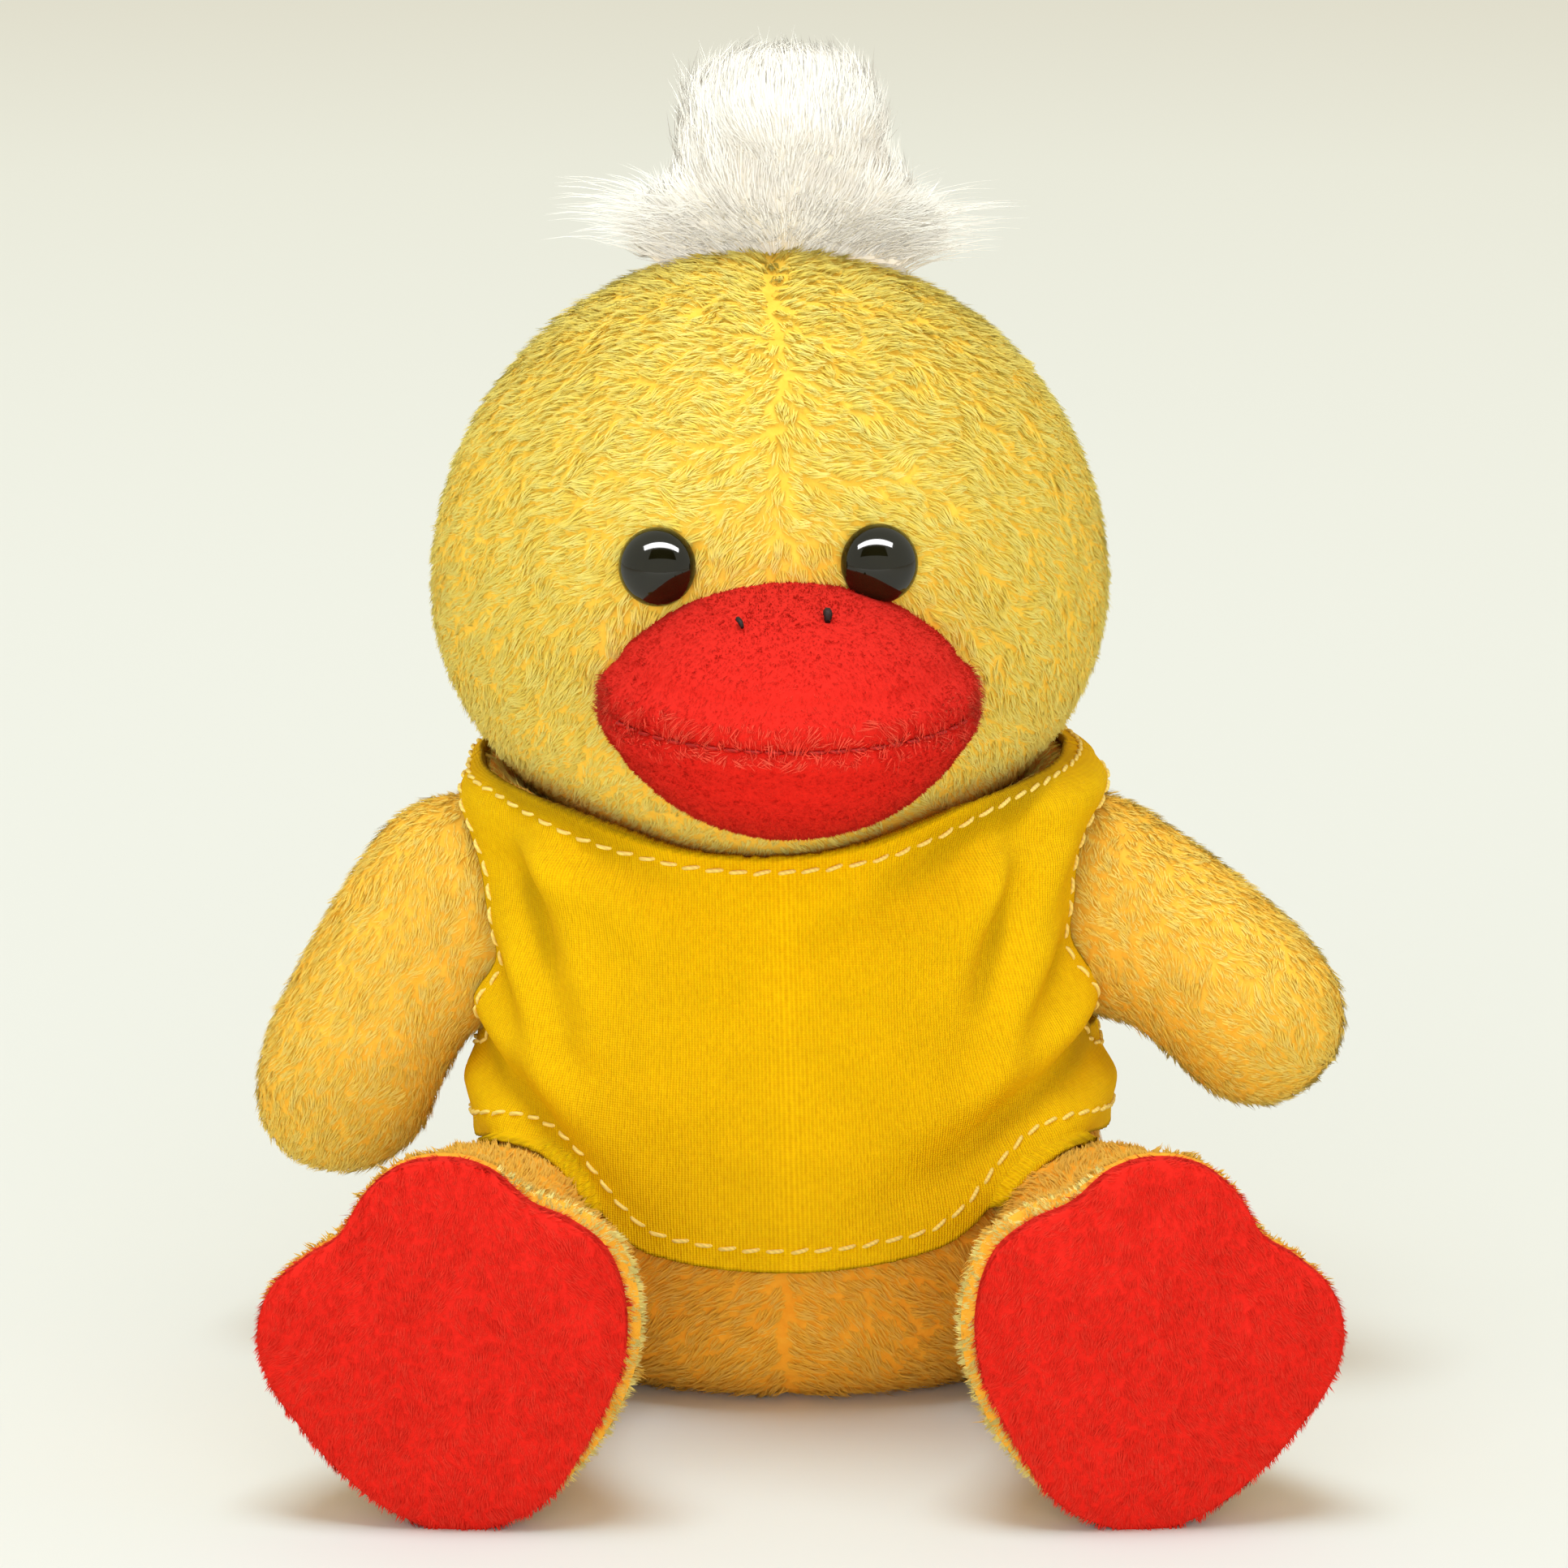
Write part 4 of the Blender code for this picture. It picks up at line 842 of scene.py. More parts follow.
def head_flow(points):
    x, y, z = head_local(points).T
    high = np.clip((z + 5) / 35, 0, 1)
    way = ways(np.tanh(x / 1.2) * (0.55 + 0.9 * high), 0.0, -0.75)
    for _, eye_x, eye_z in EYES:
        away = ways(x - eye_x, 0.0, z - eye_z)
        far = np.linalg.norm(away, axis=1)
        near = np.exp(-((far / 9) ** 2)) * (y < 0)
        way += (near / (far + 0.1) * 0.9)[:, None] * away
    return way


def clear_of_face(points):
    """Where the head has pile: not under the eyes, the bill, the neck or the tuft."""
    local = head_local(points)
    x, y, z = local.T
    bill = (local - BILL_CENTRE) / (BILL_HALF_WIDTH, BILL_LENGTH, BILL_RISE)
    hidden = (np.linalg.norm(bill, axis=1) < 0.96) | ((np.hypot(x, y) < 8) & (z < -20))
    hidden |= (np.hypot(x - TUFT_X, y - TUFT_Y) < 11) & (y > TUFT_Y) & (z > 30)
    for _, eye_x, eye_z in EYES:
        hidden |= (np.hypot(x - eye_x, z - eye_z) < EYE_RADIUS - 0.5) & (y < 0)
    return ~hidden


def clipped_low(points):
    """The pile is brushed flat and short low on the cheeks and towards the sides."""
    x, _, z = head_local(points).T
    low, beside = np.clip((-z - 4) / 16, 0, 1), np.clip((abs(x) - 22) / 12, 0, 1)
    return 1 - 0.5 * np.maximum(low, 0.8 * beside)


for word, in_front, per_mm2, seed in (("front", True, 9.5, 61), ("back", False, 7.0, 62)):

    def on_half(points):
        return clear_of_face(points) & ((points[:, 1] < 2) == in_front)

    head_pile = grow_pile(f"head_pile_{word}", head, plush_pile, head_flow, on_half,
                          per_mm2=per_mm2, length=1.75, width=0.21, lift=0.34, seed=seed,
                          per_lock=9, swirl=1.15, swirl_size=4.0, pull=0.72, trim=clipped_low)
    fit(head_pile, "head")

shares, angles, faces = ball_grid(56, 36)
points = head_to_world(head_points(shares, angles, -FIBRE_INSET))
stuff("head_fibre", points, faces, "head", "head_stuffing", 9)

# Eyes: two glossy safety eyes of dark olive-black plastic, pushed through the plush on
# their shanks and locked behind it with plastic washers. The plush dimples round them.
EYE_DOME_HEIGHT = 3.1
EYE_BACK_HEIGHT = 0.8
EYE_STAND_OFF = 0.35
eye_plastic, tree, shader = new_material("olive black plastic", 0.07, 0.5)
cloudy = add_node(tree, "TexNoise", {"Vector": object_place(tree), "Scale": 420})["Fac"]
olive_black = mixed(tree, cloudy, (0.004, 0.0035, 0.001), (0.011, 0.010, 0.003))
feed(shader, {"Base Color": olive_black})
washer_plastic = backing_material(
    "white moulded plastic", (0.78, 0.78, 0.76), (0.86, 0.86, 0.84), 3.0
)

for word, eye_x, eye_z in EYES:
    left = 1 - (eye_x / HEAD_HALF_WIDTH) ** 2 - (eye_z / HEAD_RISE) ** 2
    spot = np.array((eye_x, -HEAD_HALF_DEPTH * math.sqrt(left), eye_z))
    out = Vector(spot / np.array((HEAD_HALF_WIDTH, HEAD_HALF_DEPTH, HEAD_RISE)) ** 2).normalized()
    facing = np.array(out.to_track_quat("Z", "Y").to_matrix())
    dome, faces = round_ball(64, 40)
    tall = np.where(dome[:, 2] > 0, EYE_DOME_HEIGHT, EYE_BACK_HEIGHT)
    dome = dome * ways(EYE_RADIUS, EYE_RADIUS, tall) + (0, 0, EYE_STAND_OFF)
    eye = add_piece(f"eye_dome_{word}", head_to_world(dome @ facing.T + spot), faces, eye_plastic)
    fit(eye, "head", f"eye_{word}")
    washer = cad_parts[f"eye_washer_{word}"].data
    washer.materials.clear()
    washer.materials.append(washer_plastic)

# Bill: an upper and a lower shell of very short red plush, sewn together along the mouth,
# stuffed, and sewn to the face. Two dark thread marks near its root are the nostrils.
MOUTH_HALF_GAP = 0.05
BILL_BAND_HEIGHT = 3.6
# The fibres of the band along the mouth are paler at their tips: a painted highlight on the rolled
# band.
RED_HIGHLIGHT_TIP = (1.0, 0.15, 0.085)
THREAD_PLIES = 900
MOUTH_STITCH_LENGTH = 1.9
MOUTH_STITCH_RADIUS = 0.19
# Each nostril: its place across and forward on the bill, its length and its thickness.
NOSTRILS = (("left", 3.4, -12.8, 1.6, 0.46), ("right", -5.4, -13.4, 1.8, 0.28))
band_highlight_pile = pile_material("red pile with painted highlight", RED_MIDDLE, RED_LIT_TIP, RED_HIGHLIGHT_TIP)


def half_ball_grid(sides, rings):
    """Shares and angles of half a ball's points, rim first, and its faces with a flat base."""
    share, angle = np.meshgrid(
        np.arange(rings) / rings, np.arange(sides) / sides * 2 * math.pi, indexing="ij"
    )
    faces = []
    for ring in range(rings - 1):
        for k in range(sides):
            low, after = ring * sides + k, ring * sides + (k + 1) % sides
            faces.append((low, after, after + sides, low + sides))
    last, top = (rings - 1) * sides, rings * sides
    faces += [(last + k, last + (k + 1) % sides, top) for k in range(sides)]
    faces.append(tuple(range(sides))[::-1])
    return np.append(share.ravel(), 1.0), np.append(angle.ravel(), 0.0), faces


def bill_points(share, angle, inset, upper):
    """Half of a flattened ball, whose flat side is the mouth."""
    level = math.pi / 2 * share
    ring = np.cos(level)
    x = (BILL_HALF_WIDTH - inset) * ring * np.cos(angle)
    y = (BILL_LENGTH - inset) * ring * np.sin(angle)
    z = ((BILL_RISE if upper else BILL_DROP) - inset) * np.sin(level)
    band = np.exp(-(((z - 0.45 * BILL_BAND_HEIGHT) / (0.42 * BILL_BAND_HEIGHT)) ** 2))
    groove = np.exp(-(((z - 1.15 * BILL_BAND_HEIGHT) / (0.3 * BILL_BAND_HEIGHT)) ** 2))
    seam = np.exp(-((z / 0.4) ** 2))
    grow = (0.45 * band - (0.5 if upper else 0.25) * groove - 0.10 * seam) * (ring > 0.4)
    narrow = 1 - 0.055 * np.clip((z - BILL_BAND_HEIGHT) / 4, 0, 1)
    x = x * (1 + grow / BILL_HALF_WIDTH) * narrow
    y = y * (1 + grow / BILL_LENGTH)
    z = z + MOUTH_HALF_GAP
    return np.column_stack((x, y, z if upper else -z))


for upper, word in ((True, "upper"), (False, "lower")):
    share, angle, faces = half_ball_grid(128, 56)
    points = head_to_world(bill_points(share, angle, 0.3, upper) + BILL_CENTRE)
    if not upper:
        faces = [face[::-1] for face in faces]
    shell = add_piece(f"bill_plush_{word}", points, faces, red_backing)
    fit(shell, "head", f"bill_{word}")

    def bill_flow(points):
        local = head_local(points) - BILL_CENTRE
        return ways(0.6 * local[:, 0] / BILL_HALF_WIDTH, -1.0, -0.4 if upper else 0.1)

    def on_bill_front(points):
        local = head_local(points)
        in_head = local / (HEAD_HALF_WIDTH, HEAD_HALF_DEPTH, HEAD_RISE)
        flat = abs(local[:, 2] - BILL_CENTRE[2]) < MOUTH_HALF_GAP + 0.02
        return ~(np.linalg.norm(in_head, axis=1) < 0.97) & ~flat

    def on_band(points):
        off_mouth = abs(head_local(points)[:, 2] - BILL_CENTRE[2])
        return on_bill_front(points) & (off_mouth < BILL_BAND_HEIGHT * (0.8 if upper else 0.5))

    shell_pile = grow_pile(f"bill_pile_{word}", shell, red_pile, bill_flow, on_bill_front,
                           per_mm2=16.0, length=0.6, width=0.14, lift=0.35, seed=71 + upper,
                           swirl=0.9, swirl_size=4.0, pull=0.35)
    fit(shell_pile, "head")
    # Longer loose fibres on the band, whose pale tips are a painted highlight.
    band_pile = grow_pile(f"bill_band_pile_{word}", shell, band_highlight_pile, bill_flow, on_band,
                          per_mm2=5.5, length=1.6, width=0.12, lift=0.40, seed=75 + upper,
                          per_lock=5, swirl=2.0, swirl_size=2.5, pull=0.4)
    fit(band_pile, "head")

points, faces = round_ball(48, 30)
points *= (BILL_HALF_WIDTH - FIBRE_INSET, BILL_LENGTH - FIBRE_INSET, BILL_RISE - FIBRE_INSET)
points += BILL_CENTRE
face_depth = 1 - (points[:, 0] / HEAD_HALF_WIDTH) ** 2 - (points[:, 2] / HEAD_DROP) ** 2
face_y = -HEAD_HALF_DEPTH * np.sqrt(np.clip(face_depth, 0, 1)) - 0.6
points[:, 1] = np.minimum(points[:, 1], face_y)
stuff("bill_fibre", head_to_world(points), faces, "head", "bill_stuffing", 10)


def twist_group():
    """Shared effect: the slanting plies of a twisted thread, as fine dark lines."""
    colours = {"Dark": "Color", "Light": "Color"}
    group, given, results = new_group("twist", colours, {"Colour": "Color"})
    run = {"Vector": object_place(group), "Scale": THREAD_PLIES}
    plies = add_node(group, "TexWave", run, wave_type="BANDS", bands_direction="DIAGONAL")["Fac"]
    feed(results, {"Colour": mixed(group, plies, given["Dark"], given["Light"])})
    return group


TWIST = twist_group()


def thread_material(name, colour, dark_share=0.6):
    material, tree, shader = new_material(name, 0.7, 0.2)
    ply = {"Dark": (*(dark_share * c for c in colour), 1), "Light": (*colour, 1)}
    feed(shader, {"Base Color": add_node(tree, "Group", ply, node_tree=TWIST)["Colour"]})
    return material


def stitch_run(name, middles, runs, outs, length, radius, material):
    """Short threads, each bowed over the cloth with its two ends in it."""
    steps, ring = 6, 6
    points, faces = [], []
    for middle, way, out in zip(middles, runs, outs):
        side = np.cross(out, way)
        first = len(points)
        for step in range(steps):
            t = step / (steps - 1) * 2 - 1
            centre = middle + way * t * length / 2 + out * radius * (0.7 - 1.5 * t**4)
            thick = radius * (1 - 0.35 * t**4)
            for k in range(ring):
                turn = k / ring * 2 * math.pi
                points.append(centre + thick * (side * math.cos(turn) + out * math.sin(turn)))
        for step in range(steps - 1):
            for k in range(ring):
                a, b = first + step * ring + k, first + step * ring + (k + 1) % ring
                faces.append((a, a + ring, b + ring, b))
        faces.append(tuple(first + k for k in range(ring)))
        faces.append(tuple(first + (steps - 1) * ring + k for k in range(ring))[::-1])
    return add_piece(name, points, faces, material)


red_thread = thread_material("red thread", (0.56, 0.016, 0.010))
dark_thread = thread_material("dark thread", (0.020, 0.005, 0.004))
turns = np.radians(np.arange(205, 336, 6.4))
mouth = ways((BILL_HALF_WIDTH - 0.1) * np.cos(turns), (BILL_LENGTH - 0.1) * np.sin(turns), 0.0)
along_mouth = unit(np.gradient(mouth, axis=0)) @ HEAD_TURN.T
out_of_mouth = unit(mouth / (BILL_HALF_WIDTH**2, BILL_LENGTH**2, 1)) @ HEAD_TURN.T
mouth_thread = stitch_run("mouth_stitches", head_to_world(mouth + BILL_CENTRE), along_mouth,
                          out_of_mouth, MOUTH_STITCH_LENGTH, MOUTH_STITCH_RADIUS, red_thread)
fit(mouth_thread, "head", "mouth_thread")

for word, x, y, long, thick in NOSTRILS:
    z = BILL_RISE * math.sqrt(1 - (x / BILL_HALF_WIDTH) ** 2 - (y / BILL_LENGTH) ** 2)
    spot = np.array((x, y, z))
    out = unit((spot / (BILL_HALF_WIDTH**2, BILL_LENGTH**2, BILL_RISE**2))[None])
    way = unit(np.cross(out, (1.0, 0.25 if x < 0 else 0.05, 0)))
    mark = head_to_world(spot[None] + BILL_CENTRE + out * 0.25)
    thread = stitch_run(f"nostril_mark_{word}", mark, way @ HEAD_TURN.T, out @ HEAD_TURN.T,
                        long, thick, dark_thread)
    fit(thread, "head", f"nostril_{word}")

# Hair tuft: long white faux fur on a round woven patch that is sewn to the crown. The
# middle stands straight up, and the outer strands splay out over the head.
PATCH_RADIUS = 13.0
TUFT_FULL_HEIGHT = 12
# The fur's root colour is a warmer cream: painted warm shade at the tuft's base, where the yellow
# head throws its light.
FUR_COLOURS = ((0.97, 0.88, 0.70), (0.96, 0.94, 0.87), (0.95, 0.95, 0.91))
FUR_LIFT = 0.8
# A faint painted glow: white emission standing in for light scattered through the fur.
FUR_PAINTED_GLOW = {"Emission Color": (1.0, 0.95, 0.84, 1), "Emission Strength": 0.11}
STRAND_TAPERS = (1.0, 1.0, 0.85, 0.65, 0.4, 0.05)
# Each pair: height over the crown and half width of the tuft's core in millimetres.
TUFT_CORE_SHARES = (
    (-3.5, 0.0), (-3.5, 9.0), (-1.5, 13.4), (0.8, 14.6), (3.2, 14.2), (5.8, 12.6),
    (8.4, 10.9), (11.5, 10.2), (14.8, 10.0), (17.4, 8.5), (19.3, 5.6), (20.2, 0.0),
)
patch_cloth = backing_material("woven patch", (0.72, 0.68, 0.58), (0.88, 0.86, 0.80), 0.5)
fur_white = pile_material("white fur", *FUR_COLOURS, raised=FUR_LIFT)
# The core's darker cream is the same painted warm shade.
fur_core = backing_material("white fur core", (0.96, 0.90, 0.78), (0.95, 0.93, 0.87), 1.2)
# The fur and its core both get the painted glow.
for material in (fur_white, fur_core):
    feed(material.node_tree.nodes["Principled BSDF"], FUR_PAINTED_GLOW)


def crown_points(x, y, above):
    """Places over the crown of the head, at a height above its cloth."""
    left = 1 - (x / HEAD_HALF_WIDTH) ** 2 - (y / HEAD_HALF_DEPTH) ** 2
    return np.column_stack((x, y, HEAD_RISE * np.sqrt(left) + above))


def shallow_front(y, height):
    """The tuft starts behind the crown's crest: its front half is drawn back, less and less
    higher up."""
    share = np.clip(height / TUFT_FULL_HEIGHT, 0, 1) * 0.8
    return y * np.where(y < 0, TUFT_FRONT_SHARE + (1 - TUFT_FRONT_SHARE) * share, 1)


shares, angles, faces = ball_grid(72, 24)
reach = PATCH_RADIUS * np.minimum(1, 1.2 * (1 - abs(2 * shares - 1)))
x, y = TUFT_X + reach * np.cos(angles), TUFT_Y + shallow_front(reach * np.sin(angles), 0)
patch_points = crown_points(x, y, np.where(shares > 0.5, 0.6, -0.3))
patch = add_piece("tuft_patch", head_to_world(patch_points), faces, patch_cloth)
fit(patch, "head", "tuft_backing")

shares, angles, faces = ball_grid(96, 72)
tall, wide = shares_at(TUFT_CORE_SHARES, shares)
depth = shallow_front(wide * np.sin(angles), tall)
core = np.column_stack((wide * np.cos(angles), depth, HEAD_RISE + tall))
core[:, :2] *= 1 + 0.06 * lumps(core, 3.2, 5)[:, None] + 0.03 * np.sin(9 * angles + tall)[:, None]
core[:, :2] += (TUFT_X, TUFT_Y)
tuft_core = add_piece("tuft_core", head_to_world(core), faces, fur_core)
fit(tuft_core, "head", "hair_tuft")


def tuft_flow(points):
    x, y, z = head_local(points).T
    low = np.exp(-((np.clip(z - HEAD_RISE, 0, 30) / 5) ** 2))
    spread = 0.02 + 0.10 * low
    return ways((x - TUFT_X) * spread, np.maximum(y - TUFT_Y, 0) * spread, 1.0 - 0.3 * low)


def tuft_shown(points):
    return head_local(points)[:, 2] > HEAD_RISE - 1.5


tuft_pile = grow_pile("tuft_pile", tuft_core, fur_white, tuft_flow, tuft_shown,
                      per_mm2=10.0, length=3.6, width=0.15, lift=0.13, seed=80,
                      per_lock=5, swirl=0.35, swirl_size=5.0, pull=0.25)
fit(tuft_pile, "head")


def tuft_strands(name, count, seed, radii, heights, splay, length, uneven, width, dome=0.0):
    """Loose fur from a ring of the tuft between two radii and two heights."""
    rng = np.random.default_rng(seed)
    radius = np.sqrt(rng.uniform(radii[0] ** 2, radii[1] ** 2, count))
    turn = rng.uniform(0, 2 * math.pi, count)
    heading = ways(np.cos(turn), np.sin(turn), 0.0)
    start = heading * radius[:, None]
    height = rng.uniform(*heights, count)
    root = crown_points(TUFT_X + start[:, 0], TUFT_Y + shallow_front(start[:, 1], height), height)
    cluster = np.round(turn * 7) * 1.7 + np.round(radius / 2.2) * 3.1
    wander = ways(np.sin(cluster * 12.9), np.cos(cluster * 7.3), 0.6 * np.sin(cluster * 3.1))
    up = np.array((0.0, 0.0, 1.0))
    loose = rng.normal(size=(count, 3))
    out = heading * (radius / PATCH_RADIUS)[:, None] ** 2 * splay
    way = unit(up + out + wander * 0.10 + loose * 0.06)
    forward = 1 - 0.6 * np.clip(-heading[:, 1:2], 0, 1) * min(1, splay)
    long = length * (1 - uneven * rng.random((count, 1))) * forward
    long *= 1 - dome * (radius[:, None] / radii[1]) ** 2
    tip = root + way * long + wander * 0.9
    bend = root + unit(up + out * 0.35) * long * 0.5
    across = unit(np.cross(way, up + loose * 0.1))
    other = np.cross(way, across)
    thick = width / 2 * (0.7 + 0.6 * rng.random(count))[:, None]
    points, normals, along, triangles = [], [], [], []
    last = len(STRAND_TAPERS) - 1
    for level, taper in enumerate(STRAND_TAPERS):
        t = level / last
        middle = head_to_world(bowed(root, bend, tip, t) + loose * 0.25 * math.sin(4 * t))
        low = np.arange(count) + 3 * level * count
        high = low + 3 * count
        for corner in range(3):
            clock = 2 * math.pi * corner / 3
            out_of = across * math.cos(clock) + other * math.sin(clock)
            points.append(middle + out_of * thick * taper)
            normals.append(unit(out_of + 0.5 * up))
            along.append(np.full(count, t))
            if level < last:
                a, b = corner * count, (corner + 1) % 3 * count
                triangles.append(np.column_stack((low + a, low + b, high + b)))
                triangles.append(np.column_stack((low + a, high + b, high + a)))
    lock = rng.random(count)
    fur = strand_piece(name, points, normals, triangles, along, lock, fur_white)
    fit(fur, "head")


tuft_strands("tuft_top", 1900, 81, (0.0, 9.6), (9.0, 12.0), splay=0.30, length=12.3,
             uneven=0.40, width=0.15, dome=0.3)
tuft_strands("tuft_skirt", 1300, 83, (10.5, 13.6), (0.5, 6.0), splay=1.5, length=7.5,
             uneven=0.60, width=0.15)
tuft_strands("tuft_wisps", 800, 84, (11.0, 13.6), (0.0, 5.0), splay=4.5, length=13.8,
             uneven=0.55, width=0.13)

# Vest: a sleeveless shirt of fine amber knit in a front and a back panel, joined at the
# shoulders and sides. Its edges are cut raw, each with a line of cream topstitching.
KNIT_DARK = (0.80, 0.43, 0.001)
KNIT_LIGHT = (0.97, 0.64, 0.002)
KNIT_THICKNESS = 0.8
VEST_OUTSET = 1.25
VEST_MIDDLE_RADIUS = 33.0
ARMHOLE_MARGIN = 1.0
HEM_BLEND = 7.5
LEG_HOLE_MARGIN = 0.2
LEG_HOLE_SQUARENESS = 2.5
# Each fold is a line on the front in millimetres, from x, z to x, z, its depth and width.
FOLDS = (
    (-30.0, 66.0, -10.0, 56.5, 2.6, 3.0),
    (28.0, 67.0, 8.0, 54.0, 2.7, 3.6),
    (24.5, 56.0, 20.5, 40.0, 1.8, 2.0),
    (-27.0, 56.0, -23.0, 40.0, 1.7, 2.2),
    (-29.5, 44.0, -26.0, 33.0, 1.2, 1.6),
    (33.0, 36.0, 15.0, 25.5, 2.0, 2.8),
    (-31.0, 35.0, -20.0, 25.0, 1.7, 2.4),
    (30.0, 46.0, 25.0, 35.0, 1.2, 1.8),
)


def fold_depth(points):
    """How far the knit lies out of its smooth form: down in a fold, up beside it."""
    lift = 0.32 * lumps(points, 9.0, 13) + 0.12 * lumps(points, 3.5, 14)
    front = np.clip(-(points[:, 1] - 2) / 6, 0, 1)
    for x0, z0, x1, z1, deep, wide in FOLDS:
        spot, run = points[:, (0, 2)] - (x0, z0), np.array((x1 - x0, z1 - z0))
        long = np.linalg.norm(run)
        along = (spot @ run) / long**2
        off = (spot[:, 0] * run[1] - spot[:, 1] * run[0]) / long / wide
        ends = np.exp(-np.maximum(0, np.maximum(-along, along - 1)) ** 2 * 9)
        fade = ends * (0.55 + 0.45 * np.cos(np.clip(along, 0, 1) * math.pi / 1.3))
        lift += front * fade * deep * (-np.exp(-off**2) + 0.75 * np.exp(-((abs(off) - 1.7) ** 2)))
    return lift


def off_hips(points, margin, squareness=LEG_ROOT_SQUARENESS):
    """Millimetres outside the nearer leg's root, made larger by a margin."""
    nearest = []
    for side in (1, -1):
        place, turn = hip_turn(side)
        x, y, z = ((points - place) @ turn).T
        across = abs(x) / (LEG_ROOT_HALF_WIDTH + margin)
        around = np.hypot(y, z) / (LEG_ROOT_RADIUS + margin)
        norm = (across**squareness + around**squareness) ** (1 / squareness)
        nearest.append((norm - 1) * LEG_ROOT_RADIUS)
    return np.minimum(*nearest)


def off_arms(points, margin):
    """Millimetres outside the nearer arm's root, made larger by a margin."""
    nearest = []
    for side in (1, -1):
        place, turn = shoulder_turn(side)
        x, y, z = ((points - place) @ turn).T
        flat = np.hypot(x, z) / (ARM_ROOT_RADIUS + margin)
        norm = np.hypot(flat, y / (ARM_ROOT_HALF_THICKNESS + margin))
        nearest.append((norm - 1) * ARM_ROOT_RADIUS)
    return np.minimum(*nearest)


def vest_points(share, angle):
    plain = torso_points(share, angle, VEST_OUTSET)
    lift = np.maximum(fold_depth(plain), -0.85)
    close = np.clip(1 - above_bowl(plain) / 4, 0, 1)
    lift = lift * (1 - 0.6 * close) - 0.5 * close
    out = unit((plain - (TORSO_LEAN / 2, TORSO_CENTRE_Y, 0)) * (1, 1, 0))
    points = plain + out * lift[:, None]
    for _ in range(8):
        points += out * 0.2 * (off_hips(points, 0.6) < 0)[:, None]
    return points


def above_lower_edge(points):
    """Millimetres above the hem, which rises smoothly over each hip."""
    hem = points[:, 2] - hem_height(points[:, 0])
    hips = off_hips(points, LEG_HOLE_MARGIN, LEG_HOLE_SQUARENESS)
    blend = np.clip(0.5 + (hips - hem) / 2 / HEM_BLEND, 0, 1)
    return hips * (1 - blend) + hem * blend - HEM_BLEND * blend * (1 - blend)


def in_vest(share, angle):
    """Millimetres that a place lies inside the vest's cut edges, which are a little frayed."""
    points = torso_points(share, angle, VEST_OUTSET)
    holes = np.minimum(above_lower_edge(points), off_arms(points, ARMHOLE_MARGIN))
    frayed = 0.10 * np.sin(share * 900) * np.sin(angle * 130)
    return np.minimum(above_neckline(points), holes) + frayed


def panel_grid(first_turn, sides, rings):
    """A panel's points in share and angle, drawn to its cut edge, and its faces."""
    share, angle = np.meshgrid(
        np.linspace(0.10, 0.93, rings), first_turn + np.linspace(0, math.pi, sides), indexing="ij"
    )
    far = 9.0
    inside = in_vest(share.ravel(), angle.ravel()).reshape(share.shape)
    new_share, new_angle, moved = share.copy(), angle.copy(), np.full(share.shape, far)

    def window(up, over):
        rows = slice(max(0, up), rings - max(0, -up))
        return rows, slice(max(0, over), sides - max(0, -over))

    straight, aslant = ((1, 0), (-1, 0), (0, 1), (0, -1)), ((1, 1), (1, -1), (-1, 1), (-1, -1))
    for up, over in straight + aslant:
        here, there = window(-up, -over), window(up, over)
        gap = inside[here] - inside[there] + 1e-12
        t = np.where((inside[here] < 0) & (inside[there] >= 0), inside[here] / gap, far)
        if up and over:
            t = np.where(moved[here] < 2, far, t)
        better = t < moved[here]
        for new, old in ((new_share, share), (new_angle, angle)):
            new[here] = np.where(better, old[here] + t * (old[there] - old[here]), new[here])
        moved[here] = np.where(better, t, moved[here])
    kept = inside >= 0
    usable = kept | (moved < 2)
    faces = []
    for i in range(rings - 1):
        for j in range(sides - 1):
            if usable[i:i + 2, j:j + 2].all() and kept[i:i + 2, j:j + 2].any():
                a = i * sides + j
                faces.append((a, a + 1, a + sides + 1, a + sides))
    return new_share.ravel(), new_angle.ravel(), faces


